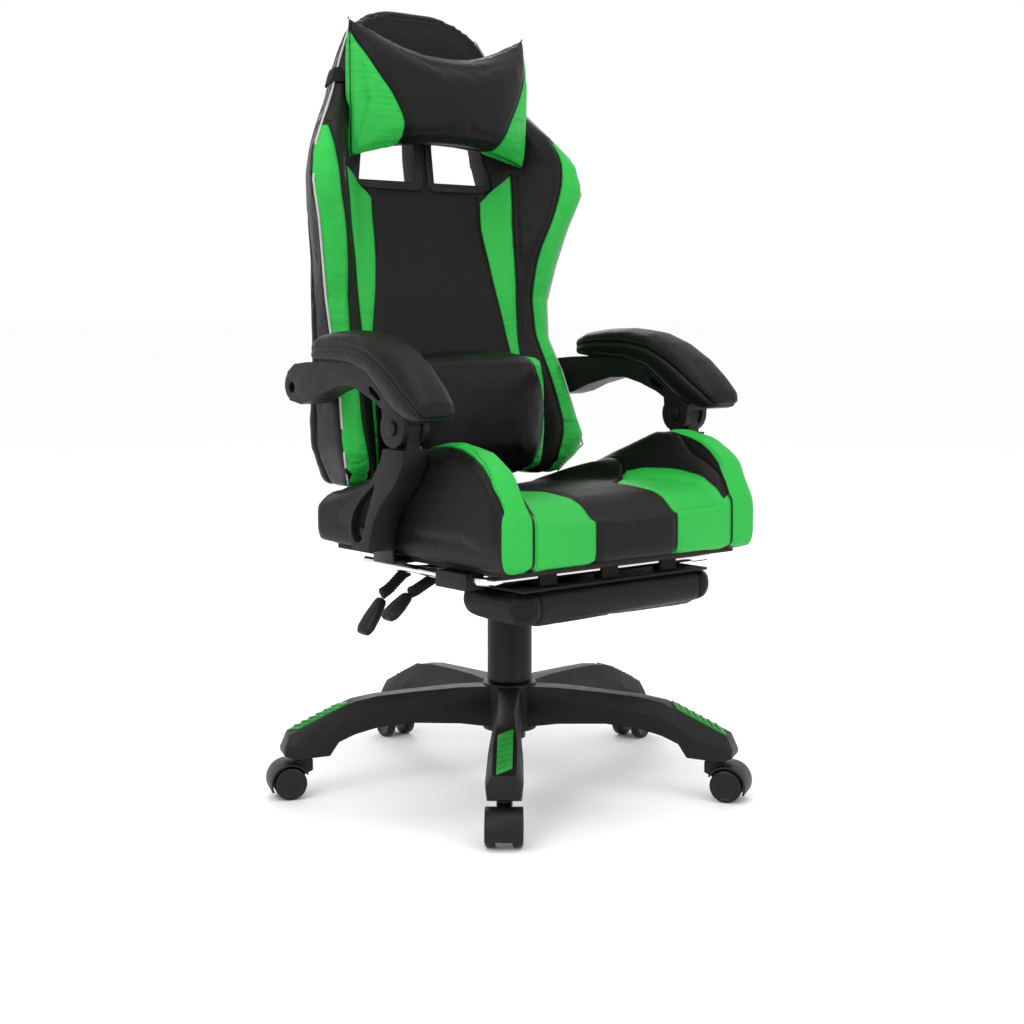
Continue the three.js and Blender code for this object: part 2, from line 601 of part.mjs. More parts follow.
const BOARD_DROP = RAIL_RADIUS + 6.5; // the footrest board, below the cross rail's middle
const CLIP_RADIUS = RAIL_RADIUS + 2.6;
function footrestBoard() {
  const top = RAIL_HEIGHT - BOARD_DROP;
  const half = FOOTREST_HALF_WIDTH - 14;
  const board = box(-half, half, RAIL_FRONT - 28, RAIL_FRONT + FOOTREST_DEPTH - 56, top - 4, top);
  const clips = [-120, 0, 120].map((x) => joined(
    pin(CLIP_RADIUS, x - 16, x + 16, RAIL_FRONT, RAIL_HEIGHT),
    box(x - 16, x + 16, RAIL_FRONT - CLIP_RADIUS, RAIL_FRONT + CLIP_RADIUS, top - 2, RAIL_HEIGHT),
  ));
  const bore = pin(RAIL_RADIUS + GAP, -300, 300, RAIL_FRONT, RAIL_HEIGHT);
  return cut(joined(board, ...clips), bore);
}

function footrestPad() {
  const top = RAIL_HEIGHT - BOARD_DROP - 4 - GAP;
  const low = top - FOOTREST_THICKNESS;
  const front = RAIL_FRONT - 42;
  const rear = front + FOOTREST_DEPTH;
  const w = FOOTREST_HALF_WIDTH;
  const level = (z, inset) => {
    const [x, y0, y1, r] = [w - inset, front + inset, rear - inset, 22];
    const right = [[x - r, y0], [x, y0 + r], [x, y1 - r], [x - r, y1]];
    const left = right.map(([px, py]) => [-px, py]).reverse();
    return [...right, ...left].map(([px, py]) => [px, py, z]);
  };
  return loft([level(low, 16), level(low + 8, 4), level(low + 22, 0), level(top - 8, 1), level(top, 6)]);
}

piece("footrest_frame", footrestFrame(), CHROME);
piece("footrest_guide_right", railGuide(-1), BLACK_NYLON);
piece("footrest_guide_left", railGuide(1), BLACK_NYLON);
piece("footrest_board", footrestBoard(), PLYWOOD);
piece("footrest_pad", footrestPad(), BLACK_LEATHER);

// ---------------------------------------------------------------- backrest
// Plan section of the back at each height. Positions of the panel lines across half the width:
// the seat-side face of the middle, the wing's crest, the piping line at the edge, and the rear corner.
const BACK = {
  face: [[466, 150], [600, 160], [760, 185], [900, 212], [1000, 226], [1100, 231], [1186, 238], [BACK_TOP, 244]],
  rear: [[466, 216], [600, 232], [760, 250], [900, 270], [1000, 283], [1100, 288], [1186, 285], [BACK_TOP, 276]],
  edgeX: [[466, 214], [490, 236], [530, 246], [620, 231], [700, 222], [780, 228], [860, 250], [940, 273],
    [985, 265], [1030, 233], [1068, 198], [1110, 175], [1150, 152], [1186, 131], [1204, 112], [1217, 84], [BACK_TOP, 54]],
  edgeY: [[466, 132], [490, 104], [530, 98], [620, 130], [700, 165], [780, 172], [860, 151], [940, 134],
    [985, 142], [1030, 168], [1068, 198], [1110, 216], [1150, 232], [1186, 243], [BACK_TOP, 250]],
  crestIn: [[466, 44], [700, 35], [940, 50], [1030, 40], [1110, 28], [BACK_TOP, 14]],
  rearX: [[466, 205], [530, 222], [700, 205], [860, 194], [940, 188], [993, 177], [1040, 161], [1081, 146],
    [1150, 123], [1186, 104], [1217, 68], [BACK_TOP, 44]],
};
const CENTRE_PANEL = 132; // half width of the flat middle panel

// One horizontal ring of the back at height z, pulled in by shrink.
function backRing(z, shrink = 0) {
  const face = along(BACK.face, z) + shrink;
  const rear = along(BACK.rear, z) - shrink;
  const ex = along(BACK.edgeX, z) - shrink;
  const ey = along(BACK.edgeY, z) + shrink * 0.4;
  const cx = ex - along(BACK.crestIn, z);
  const cy = ey - 5 + shrink * 0.3;
  const rx = along(BACK.rearX, z) - shrink;
  const px = Math.min(CENTRE_PANEL, cx * 0.8);
  const middle = [[0, face], [px * 0.7, face], [px, face - 1], [(px + cx) / 2, face * 0.7 + cy * 0.3]];
  const crest = [[cx - 5, cy + 5], [cx + 3, cy - 1], [(cx + ex) / 2, Math.min(cy, ey) - 5]];
  const side = [[ex - 4, ey - 3], [ex, ey + 3], [(ex + rx) / 2 + 4, (ey + rear) / 2 + 3]];
  const behind = [[rx + 8, rear - 9], [rx - 4, rear - 1], [rx * 0.6, rear + 4]];
  const half = [...middle, ...crest, ...side, ...behind];
  const rearMiddle = [0, rear + 5];
  const left = half.slice(1).map(([x, y]) => [-x, y]).reverse();
  return [...half, rearMiddle, ...left].map(([x, y]) => [x, y, z]);
}

const BACK_LEVELS = [
  BACK_BOTTOM, 474, 500, 530, 580, 640, 700, 760, 820, 880, 920,
  950, 985, 1030, 1068, 1110, 1150, 1186, 1204, 1217, BACK_TOP,
];

// The back is two pieces: the padded front, and the rear shell that closes it over the steel frame.
const SPLIT_FROM_REAR = 30;

function backVolume(grow = 0) {
  const last = BACK_LEVELS.length - 1;
  return loft(BACK_LEVELS.map((z, i) => backRing(z, (i === 0 || i === last ? 5 : 0) - grow)));
}

// Everything behind the split surface, offset forwards or backwards.
function behindSplit(offset) {
  const line = BACK_LEVELS.map((z) => [along(BACK.rear, z) - SPLIT_FROM_REAR + offset, z]);
  const [firstY, low] = [line[0][0], line[0][1] - 40];
  const [lastY, high] = [line.at(-1)[0], line.at(-1)[1] + 40];
  return plate([[firstY, low], ...line, [lastY, high], [600, high], [600, low]], -400, 400);
}

// A front-view outline of [x, z] points, made a block right through the back.
function throughBack(outline) {
  const shape = new THREE.Shape(outline.map(([x, z]) => new THREE.Vector2(x, z)));
  return new THREE.ExtrudeGeometry(shape, { depth: 300, bevelEnabled: false })
    .rotateX(Math.PI / 2)
    .translate(0, 400, 0);
}

// One belt hole, widened all round by g.
function holePrism(sign, g) {
  const inner = sign * (HOLE_INNER - g);
  return throughBack([
    [inner, HOLE_BOTTOM - g],
    [sign * (HOLE_OUTER_BOTTOM + g), HOLE_BOTTOM - g],
    [sign * (HOLE_OUTER_TOP + g), HOLE_TOP + g],
    [inner, HOLE_TOP + g],
  ]);
}

// One opening in the rear shell round both holes, so that the back is thin there.
function rearPocket() {
  const bottom = [HOLE_OUTER_BOTTOM + HOLE_POCKET, HOLE_BOTTOM - 12];
  const top = [HOLE_OUTER_TOP + HOLE_POCKET, HOLE_TOP + 8];
  return throughBack([bottom, top, [-top[0], top[1]], [-bottom[0], bottom[1]]]);
}

const FRAME_RADIUS = 9;
const FRAME_DEPTH = 19; // the frame tube's middle, in front of the rear face
const frameY = (z) => along(BACK.rear, z) - FRAME_DEPTH;
const FRAME_FOOT = 442;
const FRAME_LINE = [
  [BACK_HINGE_X, 500], [BACK_HINGE_X, 600], [156, 700], [166, 850], [171, 950],
  [160, 1020], [147, 1060], [116, 1105], [68, 1135],
];

// The bent steel tube inside the back, an upside-down U, with bars across it for the armrests' rear pivots.
function frameTube(grow) {
  const foot = [BACK_HINGE_X, frameY(480), FRAME_FOOT];
  const right = [foot, ...FRAME_LINE.map(([x, z]) => [x, frameY(z), z])];
  const left = [...right].reverse().map(([x, y, z]) => [-x, y, z]);
  const loop = bar([...right, ...left], FRAME_RADIUS + grow, { sides: 8, steps: 26 });
  const rear = frameY(ARM_LUG.z) + 4;
  const half = 8 + grow;
  const arm = joined(
    box(BACK_HINGE_X - 4 - grow, 208 + grow, ARM_LUG.y - half, rear + grow, ARM_LUG.z - half, ARM_LUG.z + half),
    pin(LUG_PIN_RADIUS + grow, 200, LUG_PIN_END, ARM_LUG.y, ARM_LUG.z),
  );
  const arms = [-1, 1].map((sign) => mirrored(arm, sign));
  return joined(loop, ...arms);
}

// Flat steel beside a foot of the tube, turning on the mechanism's ear.
const HINGE_ARM_INNER = BACK_HINGE_X + FRAME_RADIUS + GAP;
function hingeArm(sign) {
  const { y, z } = RECLINE_HINGE;
  const tube = frameY(480);
  const outline = [[y - 8, z - 12], [y + 8, z - 12], [y + HINGE_EAR, z], [tube + 8, 452], [tube + 8, 462],
    [tube - 8, 462], [y - HINGE_EAR, z + 4], [y - HINGE_EAR, z]];
  const arm = plate(outline, HINGE_ARM_INNER, HINGE_ARM_INNER + HINGE_ARM_THICKNESS);
  return mirrored(cut(arm, pin(HINGE_BOLT_RADIUS + GAP, 0, 300, y, z)), sign);
}

// The light guide set in the seam round the back's edge: up one side, over the top and down the other.
const LIGHT_RADIUS = 2.2;
function lightStrip(radius) {
  const levels = [470, ...BACK_LEVELS.slice(2, -3), 1200];
  const left = levels.map((z) => [along(BACK.edgeX, z) - 0.5, along(BACK.edgeY, z) + 1, z]);
  const over = [[-60, 262, BACK_TOP - 2], [60, 262, BACK_TOP - 2]];
  const right = [...left].reverse().map(([x, y, z]) => [-x, y, z]);
  return bar([...left, ...over, ...right], radius, { sides: 4, steps: 34 });
}

const volume = backVolume();
const holes = [1, -1].map((sign) => holePrism(sign, HOLE_TRIM));
const frameSpace = frameTube(0.8);
const lightGroove = lightStrip(LIGHT_RADIUS + 0.3);

piece("back_cushion", cut(volume, behindSplit(-GAP / 2), ...holes, frameSpace, lightGroove), BLACK_LEATHER);
const rearPart = geometryOf(solid(volume).intersect(solid(behindSplit(GAP / 2))));
piece("back_shell", cut(rearPart, rearPocket(), frameSpace, lightGroove), BLACK_LEATHER);
piece("back_frame", frameTube(0), BLACK_STEEL);
piece("light_strip", lightStrip(LIGHT_RADIUS), LIGHT_GUIDE);

// A shouldered bolt through an ear and a hinge arm, with a spacer between them.
function hingeBolt(sign) {
  const { y, z } = RECLINE_HINGE;
  const inner = BACK_HINGE_X - 3 - GAP;
  const outer = HINGE_ARM_INNER + HINGE_ARM_THICKNESS + GAP;
  const shank = pin(HINGE_BOLT_RADIUS, inner - 3, outer + 3, y, z);
  const spacer = pin(8, BACK_HINGE_X + 3 + GAP, HINGE_ARM_INNER - GAP, y, z);
  const heads = [[inner - 5, inner], [outer, outer + 5]].map(([x0, x1]) => pin(9, x0, x1, y, z, 6));
  return mirrored(joined(shank, spacer, ...heads), sign);
}
[["right", -1], ["left", 1]].forEach(([side, sign]) => {
  piece(`hinge_arm_${side}`, hingeArm(sign), BLACK_STEEL);
  piece(`hinge_bolt_${side}`, hingeBolt(sign), CHROME);
});

// The part of a prism through the back that lies between two distances behind the seat-side face.
const RIM_PROUD = 3;
function faceSlice(prism, from, to) {
  const levels = [900, 950, 1000, 1050, 1100];
  const line = (behind) => levels.map((z) => [along(BACK.face, z) + behind, z]);
  return solid(prism).intersect(solid(plate([...line(from), ...line(to).reverse()], -300, 300)));
}

// A moulded ring in each belt hole, with a rim that lies on the face.
function holeTrim(sign) {
  const wall = faceSlice(holePrism(sign, HOLE_TRIM - GAP), -RIM_PROUD, 60);
  const rim = faceSlice(holePrism(sign, HOLE_TRIM + HOLE_FLANGE), -RIM_PROUD, -0.6);
  const ring = wall.add(rim).subtract(solid(holePrism(sign, 0))).subtract(solid(behindSplit(RIM_PROUD)));
  const opening = solid(holePrism(sign, HOLE_TRIM - GAP / 2));
  const clear = solid(volume.clone().translate(0, -GAP, 0)).subtract(opening);
  return geometryOf(ring.subtract(clear));
}
const trims = [-1, 1].map(holeTrim);
piece("hole_trim_right", trims[0], BLACK_NYLON);
piece("hole_trim_left", trims[1], BLACK_NYLON);

// ---------------------------------------------------------------- pillows
const HEAD_HALF_WIDTH = 180;
const LUMBAR_HALF_WIDTH = 152;
const PILLOW_OFFSET = 1.2; // between a pillow and the back it rests on
const eased = (v, power) => Math.sign(v) * Math.abs(v) ** power;

// A stuffed pillow across the back; shape gives its outline and depth at each share of the half width.
function pillow(halfWidth, shape) {
  const stations = 12;
  const around = 14;
  const rings = Array.from({ length: stations + 1 }, (_, s) => {
    const x = halfWidth * Math.sin(((-1 + (2 * s) / stations) * Math.PI) / 2) * 0.999;
    const { low, high, middle, thick, square } = shape(Math.abs(x / halfWidth));
    return Array.from({ length: around }, (_unused, i) => {
      const angle = (i / around) * Math.PI * 2;
      const y = middle + thick * eased(Math.cos(angle), square);
      return [x, y, (low + high) / 2 + ((high - low) / 2) * eased(Math.sin(angle), square)];
    });
  });
  const rims = [-1, 1].map((sign) => {
    const prism = holePrism(sign, HOLE_TRIM + HOLE_FLANGE + GAP);
    return geometryOf(faceSlice(prism, -RIM_PROUD - GAP, 20));
  });
  return cut(loft(rings), volume.clone().translate(0, -PILLOW_OFFSET, 0), ...rims);
}

const headShape = (u) => ({
  low: 1003 - 35 * u ** 2.4,
  high: 1144 + 56 * u ** 2.2,
  middle: 174 + 4 * u,
  thick: 50 * (1 - u ** 4) + 7,
  square: 0.75,
});
const lumbarShape = (u) => ({
  low: 474 + 8 * u ** 3,
  high: 674 - 14 * u ** 3,
  middle: 104,
  thick: 54 * (1 - u ** 6) + 5,
  square: 0.6,
});

const headPillow = pillow(HEAD_HALF_WIDTH, headShape);
piece("head_pillow", headPillow, BLACK_LEATHER);
piece("lumbar_pillow", pillow(LUMBAR_HALF_WIDTH, lumbarShape), BLACK_LEATHER);

// The elastic strap that holds the head pillow, round the back of the backrest.
const STRAP_BOTTOM = 1096;
const STRAP_WIDTH = 24;
const STRAP_THICKNESS = 1.6;
function headStrap() {
  const inner = backVolume(PILLOW_OFFSET);
  const slab = box(-400, 400, -400, 400, STRAP_BOTTOM, STRAP_BOTTOM + STRAP_WIDTH);
  const band = solid(backVolume(PILLOW_OFFSET + STRAP_THICKNESS)).intersect(solid(slab));
  const front = box(14 - HEAD_HALF_WIDTH, HEAD_HALF_WIDTH - 14, -100, 240, 1000, 1200);
  return cut(geometryOf(band), inner, front, headPillow, lightGroove);
}
piece("head_strap", headStrap(), WEBBING);

// ---------------------------------------------------------------- armrests
const KNUCKLE_INNER = ARM_INNER + 11;
const KNUCKLE_OUTER = ARM_OUTER - 11;
const KNUCKLE_RADIUS = 25;
const PAD_HALF_WIDTH = 39;
const armMiddle = (ARM_INNER + ARM_OUTER) / 2;

// The upright: a bowed moulding from the foot to the knuckle under the pad.
function armUpright() {
  const { y, z } = ARM_PIVOT;
  const column = [[-8, 392], [2, 404], [4, 424], [-3, 447], [-22, 470], [-56, 500], [-76, 526], [-82, 544],
    [-128, 544], [-128, 522], [-110, 494], [-76, 462], [-58, 436], [-48, 404], [-46, 392]];
  const neck = [[-84, 530], [y + 22, z], [y - 22, z], [-126, 530]];
  const body = joined(
    plate(column, ARM_INNER, ARM_OUTER),
    plate(neck, KNUCKLE_INNER, KNUCKLE_OUTER),
    pin(KNUCKLE_RADIUS, KNUCKLE_INNER, KNUCKLE_OUTER, y, z),
  );
  const drop = new THREE.Shape();
  drop.moveTo(-62, 492);
  drop.bezierCurveTo(-28, 470, -2, 450, -3, 424);
  drop.bezierCurveTo(-4, 398, -28, 398, -34, 420);
  drop.bezierCurveTo(-40, 446, -54, 466, -62, 492);
  const { y: footY, z: footZ } = UPRIGHT_FOOT;
  const recess = plate(drop, ARM_OUTER - RECESS_DEPTH, ARM_OUTER + 5);
  const washer = pin(STUD_HEAD_RADIUS + 1.5, ARM_OUTER - RECESS_DEPTH, ARM_OUTER + 5, footY, footZ);
  const foot = pin(PIVOT_PIN_RADIUS + GAP, 200, 400, footY, footZ);
  const head = pin(PIVOT_PIN_RADIUS + GAP, 200, 400, y, z);
  const seat = pin(ARM_BOSS_RADIUS + 1.5, ARM_INNER - 5, KNUCKLE_INNER, y, z, 20);
  const outerSeat = pin(ARM_BOSS_RADIUS + 1.5, KNUCKLE_OUTER, ARM_OUTER + 5, y, z, 20);
  return cut(body, recess, washer, foot, head, seat, outerSeat);
}

// Sideways lean of everything above the knuckle, growing away from the pivot.
function splayed(geometry, still) {
  const made = solid(geometry).warp((vertex) => {
    const reach = vertex[1] - ARM_PIVOT.y;
    const beyond = Math.sign(reach) * Math.max(0, Math.abs(reach) - still);
    vertex[0] -= ARM_SPLAY * beyond;
  });
  return geometryOf(made);
}

// The arch under the pad: a boss astride the knuckle in front, a slotted lug behind.
function armArch() {
  const { y, z } = ARM_PIVOT;
  const crown = [[192, 645], [170, 658], [132, 661.5], [62, 664.5], [-2, 662.5], [-52, 647.5], [-88, 623.5],
    [-116, 601.5], [-136, 590]];
  const soffit = [[-130, 566], [-84, 560], [-80, 600], [-63, 609], [-27, 622], [6, 630], [37, 629], [89, 616],
    [122, 603], [150, 597], [186, 602]];
  const arch = plate([...crown, ...soffit], ARM_INNER, ARM_OUTER);
  const boss = pin(ARM_BOSS_RADIUS, ARM_INNER, ARM_OUTER, y, z, 20);
  const solidArch = joined(arch, boss, pin(22, ARM_INNER, ARM_OUTER, ARM_LUG.y, ARM_LUG.z + 3, 18));
  const fork = pin(KNUCKLE_RADIUS + 4, KNUCKLE_INNER - 0.6, KNUCKLE_OUTER + 0.6, y, z, 18);
  const mouth = box(KNUCKLE_INNER - 0.6, KNUCKLE_OUTER + 0.6, y - 40, y + 40, z - 50, z + 6);
  const sweep = box(KNUCKLE_INNER - 0.6, KNUCKLE_OUTER + 0.6, y + 10, y + 44, z - 30, z + 26);
  const bolt = pin(PIVOT_PIN_RADIUS + GAP, 200, 400, y, z);
  const slot = plate([[-52, 632], [-74, 619], [-78, 613], [-72, 611], [-50, 622], [-46, 629]], 200, 400);
  const bent = splayed(cut(solidArch, fork, mouth, sweep, bolt, slot), ARM_BOSS_RADIUS + 2);
  return cut(bent, pin(LUG_PIN_RADIUS + LUG_CLEARANCE, 200, 400, ARM_LUG.y, ARM_LUG.z));
}

// The stitched pad along the arch: each station is its top point, its bottom point and its half width.
const PAD_STATIONS = [
  [[116, 684], [113, 671], 26], [[109, 697], [107, 664.5], 34], [[88, 705], [90, 664.6], 38],
  [[50, 709], [52, 665.4], 39], [[0, 710], [0, 663.4], 39], [[-54, 704], [-50, 650.2], 39],
  [[-100, 688], [-84, 627.8], 39], [[-142, 664], [-102, 613.4], 39], [[-174, 637], [-122, 600.5], 39],
  [[-196, 613], [-148, 589], 37], [[-200, 598], [-168, 584], 31], [[-193, 588], [-178, 583.5], 24],
];

function armPad() {
  const right = [[0.5, 0.97], [0.84, 0.84], [0.98, 0.6], [1, 0.35], [0.93, 0.08], [0.82, 0]];
  const section = [[0, 1], ...right, ...right.map(([across, up]) => [-across, up]).reverse()];
  const rings = PAD_STATIONS.map(([top, bottom, half]) => section.map(([across, up]) => {
    const y = bottom[0] + (top[0] - bottom[0]) * up;
    return [armMiddle + across * half, y, bottom[1] + (top[1] - bottom[1]) * up];
  }));
  const boss = pin(ARM_BOSS_RADIUS + GAP, ARM_INNER - 30, ARM_OUTER + 30, ARM_PIVOT.y, ARM_PIVOT.z, 20);
  return cut(splayed(loft(rings), 0), boss);
}

// The bolt through the knuckle, with a round cap on both sides.
function pivotBolt() {
  const { y, z } = ARM_PIVOT;
  const ends = [[ARM_INNER - 3, ARM_INNER - GAP], [ARM_OUTER + GAP, ARM_OUTER + 4]];
  const caps = ends.map(([x0, x1]) => pin(11, x0, x1, y, z));
  return joined(pin(PIVOT_PIN_RADIUS, ARM_INNER - 2, ARM_OUTER + 2, y, z), ...caps);
}

const [uprightShape, archShape, padShape, boltShape] = [armUpright(), armArch(), armPad(), pivotBolt()];
[["right", -1], ["left", 1]].forEach(([side, sign]) => {
  piece(`arm_upright_${side}`, mirrored(uprightShape, sign), BLACK_NYLON);
  piece(`arm_arch_${side}`, mirrored(archShape, sign), BLACK_NYLON);
  piece(`arm_pad_${side}`, mirrored(padShape, sign), BLACK_LEATHER);
  piece(`arm_pivot_bolt_${side}`, mirrored(boltShape, sign), BLACK_NYLON);
});

// ---------------------------------------------------------------- frame
const footprint = new THREE.Box3().setFromObject(chair);
const middle = footprint.getCenter(new THREE.Vector3());
chair.position.set(-middle.x, -middle.y, -footprint.min.z);
chair.userData.pivots = {
  lift: [0, 0, HUB_TOP],
  recline: [0, RECLINE_HINGE.y, RECLINE_HINGE.z],
  upright: [armMiddle, UPRIGHT_FOOT.y, UPRIGHT_FOOT.z],
  arm: [armMiddle, ARM_PIVOT.y, ARM_PIVOT.z],
  rail: [0, RAIL_FRONT, RAIL_HEIGHT],
  levers: LEVERS.map((l) => [LEVER_PIVOT.x, l.y, LEVER_PIVOT.z]),
  castors: castorPivots,
};

export default chair;
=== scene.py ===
import json
from math import cos, pi, radians, sin

import bmesh
import bpy
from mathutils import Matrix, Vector


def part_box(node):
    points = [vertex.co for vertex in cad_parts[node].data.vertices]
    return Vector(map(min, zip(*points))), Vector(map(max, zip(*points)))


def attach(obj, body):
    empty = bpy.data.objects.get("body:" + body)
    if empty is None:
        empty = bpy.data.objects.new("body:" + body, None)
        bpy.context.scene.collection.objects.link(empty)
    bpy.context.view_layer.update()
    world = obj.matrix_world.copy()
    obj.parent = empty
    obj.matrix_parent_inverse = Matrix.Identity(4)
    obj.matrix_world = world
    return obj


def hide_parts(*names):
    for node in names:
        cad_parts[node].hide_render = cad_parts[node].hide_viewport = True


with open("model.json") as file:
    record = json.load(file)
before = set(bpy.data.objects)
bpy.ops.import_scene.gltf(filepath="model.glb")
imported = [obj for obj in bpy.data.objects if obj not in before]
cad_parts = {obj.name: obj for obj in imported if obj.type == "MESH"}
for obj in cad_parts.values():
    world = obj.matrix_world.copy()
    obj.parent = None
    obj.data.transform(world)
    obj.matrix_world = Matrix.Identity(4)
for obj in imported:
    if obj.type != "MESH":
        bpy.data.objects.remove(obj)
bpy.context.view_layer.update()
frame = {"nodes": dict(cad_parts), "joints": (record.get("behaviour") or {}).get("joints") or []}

# ---------------------------------------------------------------- view and light
# The chair stands on a plain pale floor in soft studio light: one big soft source high on the
# sitter's right, a weaker one on the left, and a strip behind that draws the edges of the black leather.
column = sum(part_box("gas_lift_tube"), Vector()) / 2
column.z = 0
VIEW_TURN = radians(-39.75)
VIEW_DISTANCE = 2.693
VIEW_HEIGHT = 0.734
VIEW_PITCH = radians(4.5)


def seen_from(turn, distance, height):
    """A place round the chair: turn 0 is straight in front of the sitter."""
    return column + Vector((sin(turn) * distance, -cos(turn) * distance, height))


bpy.ops.object.camera_add(
    location=seen_from(VIEW_TURN, VIEW_DISTANCE, VIEW_HEIGHT),
    rotation=(pi / 2 - VIEW_PITCH, 0, VIEW_TURN),
)
camera = bpy.context.object
camera.data.lens = 60.84
camera.data.shift_x = 0.0023
camera.data.shift_y = -0.0605
bpy.context.scene.camera = camera


def soft_light(name, turn, distance, height, size, power):
    """A square soft box aimed at the middle of the chair."""
    place = seen_from(turn, distance, height)
    aim = (column + Vector((0, 0, 0.6)) - place).to_track_quat("-Z", "Y")
    bpy.ops.object.light_add(type="AREA", location=place, rotation=aim.to_euler())
    light = bpy.context.object
    light.name = name
    light.data.size = size
    light.data.energy = power


soft_light("key", radians(-70), 3.0, 2.5, 1.6, 34)
soft_light("fill", radians(10), 3.6, 1.7, 2.0, 18)
soft_light("rim", radians(150), 3.0, 2.2, 1.4, 26)
soft_light("overhead", radians(-20), 0.6, 3.2, 1.8, 24)

world = bpy.data.worlds.new("studio")
world.use_nodes = True
world.node_tree.nodes["Background"].inputs["Color"].default_value = (1.0, 1.0, 1.0, 1)
world.node_tree.nodes["Background"].inputs["Strength"].default_value = 1.0
bpy.context.scene.world = world
bpy.context.scene.view_settings.view_transform = "Standard"

bpy.ops.mesh.primitive_plane_add(size=300, location=(0, 0, 0))
floor = bpy.context.object
floor.name = "floor"
floor_paint = bpy.data.materials.new("floor_paint")
floor_paint.use_nodes = True
floor_paint.node_tree.nodes["Principled BSDF"].inputs["Base Color"].default_value = (0.98, 0.98, 0.98, 1)
floor_paint.node_tree.nodes["Principled BSDF"].inputs["Roughness"].default_value = 0.75
floor.data.materials.append(floor_paint)

# ---------------------------------------------------------------- star base
# Five glass-filled nylon arms moulded in one with their hub. The top of each arm slopes down to the
# castor and carries a clipped-in green plate with a row of chevron ribs.


class Field:
    """A number, vector or colour in a material's nodes, with arithmetic written as in Python."""

    def __init__(self, tree, socket):
        self.tree = tree
        self.socket = socket

    def node(self, kind, settings, sockets, output=0):
        """Any other node: its settings first, then the values or links of its sockets."""
        made = self.tree.nodes.new("ShaderNode" + kind)
        for key, value in settings.items():
            if key == "points":
                _set_curve(made, value)
            else:
                setattr(made, key, value)
        for key, value in sockets.items():
            if isinstance(value, Field):
                self.tree.links.new(value.socket, made.inputs[key])
            else:
                made.inputs[key].default_value = value
        return Field(self.tree, made.outputs[output])

    def math(self, operation, *others):
        return self.node("Math", {"operation": operation}, dict(enumerate((self, *others))))

    def __add__(self, other):
        return self.math("ADD", other)

    def __sub__(self, other):
        return self.math("SUBTRACT", other)

    def __rsub__(self, other):
        return self.node("Math", {"operation": "SUBTRACT"}, {0: other, 1: self})

    def __mul__(self, other):
        return self.math("MULTIPLY", other)

    def __truediv__(self, other):
        return self.math("DIVIDE", other)

    def __abs__(self):
        return self.math("ABSOLUTE")

    __radd__ = __add__
    __rmul__ = __mul__

    def clamp(self):
        return self.node("Clamp", {}, {0: self})

    def above(self, edge, soft=0.0008):
        """1 where the value is above edge and 0 below, over a width of soft."""
        return ((self - edge) / soft + 0.5).clamp()

    def below(self, edge, soft=0.0008):
        return 1 - self.above(edge, soft)

    def follow(self, line):
        """The result of a line of (value, result) points; results may be anything from -1 to 1."""
        low = line[0][0]
        span = line[-1][0] - low
        scaled = [((value - low) / span, result / 2 + 0.5) for value, result in line]
        return self.node("FloatCurve", {"points": scaled}, {1: (self - low) / span}) * 2 - 1

    def between(self, first, second):
        """A blend of two colours, this value being the share of the second."""
        sockets = {0: self, 6: _as_colour(first), 7: _as_colour(second)}
        return self.node("Mix", {"data_type": "RGBA"}, sockets, output=2)


def _as_colour(value):
    return value if isinstance(value, Field) else (*value, 1)


def _set_curve(made, points):
    line = made.mapping.curves[0]
    for x, y in points[1:-1]:
        line.points.new(x, y)
    made.mapping.update()
    for point, place in zip(line.points, points):
        point.location = place
        point.handle_type = "VECTOR"
    made.mapping.update()


class Finish:
    """A material being built: its shader, and the place of each surface point on the chair."""

    def __init__(self, name, **flat):
        self.material = bpy.data.materials.new(name)
        self.material.use_nodes = True
        self.tree = self.material.node_tree
        self.shader = self.tree.nodes["Principled BSDF"]
        for socket, value in flat.items():
            self.shader.inputs[socket.replace("_", " ")].default_value = value
        coordinates = self.tree.nodes.new("ShaderNodeTexCoord")
        self.place = Field(self.tree, coordinates.outputs["Object"])
        parts = self.tree.nodes.new("ShaderNodeSeparateXYZ")
        self.tree.links.new(self.place.socket, parts.inputs[0])
        self.x = Field(self.tree, parts.outputs[0]) - column.x
        self.y = Field(self.tree, parts.outputs[1]) - column.y
        self.z = Field(self.tree, parts.outputs[2])

    def noise(self, scale, detail=2, rough=0.5):
        sockets = {"Vector": self.place, "Scale": scale, "Detail": detail, "Roughness": rough}
        return self.place.node("TexNoise", {}, sockets)

    def cells(self, scale):
        return self.place.node("TexVoronoi", {"feature": "F1"}, {"Vector": self.place, "Scale": scale})

    def paint(self, colour):
        self.tree.links.new(colour.socket, self.shader.inputs["Base Color"])

    def dull(self, roughness):
        self.tree.links.new(roughness.socket, self.shader.inputs["Roughness"])

    def relief(self, *layers):
        """Bumps, each a (height field, depth in metres), one on top of the other."""
        normal = None
        for height, depth in layers:
            sockets = {"Height": height, "Distance": depth, "Strength": 1.0}
            if normal is not None:
                sockets["Normal"] = normal
            normal = self.place.node("Bump", {}, sockets)
        self.tree.links.new(normal.socket, self.shader.inputs["Normal"])


def nylon():
    """Black moulded nylon: a fine spark-eroded texture with a faint flow marbling."""
    made = Finish("black_nylon", Specular_IOR_Level=0.24)
    flow = made.noise(9, 3)
    made.paint(flow.between((0.0035, 0.0035, 0.0035), (0.0075, 0.0070, 0.0070)))
    made.dull(0.36 + made.noise(60, 3) * 0.22)
    made.relief((made.noise(1500, 1), 0.00012), (made.noise(30, 2), 0.0004))
    return made.material


NYLON = nylon()


def dress(piece, material):
    """One finish all over a piece."""
    piece.data.materials.clear()
    piece.data.materials.append(material)


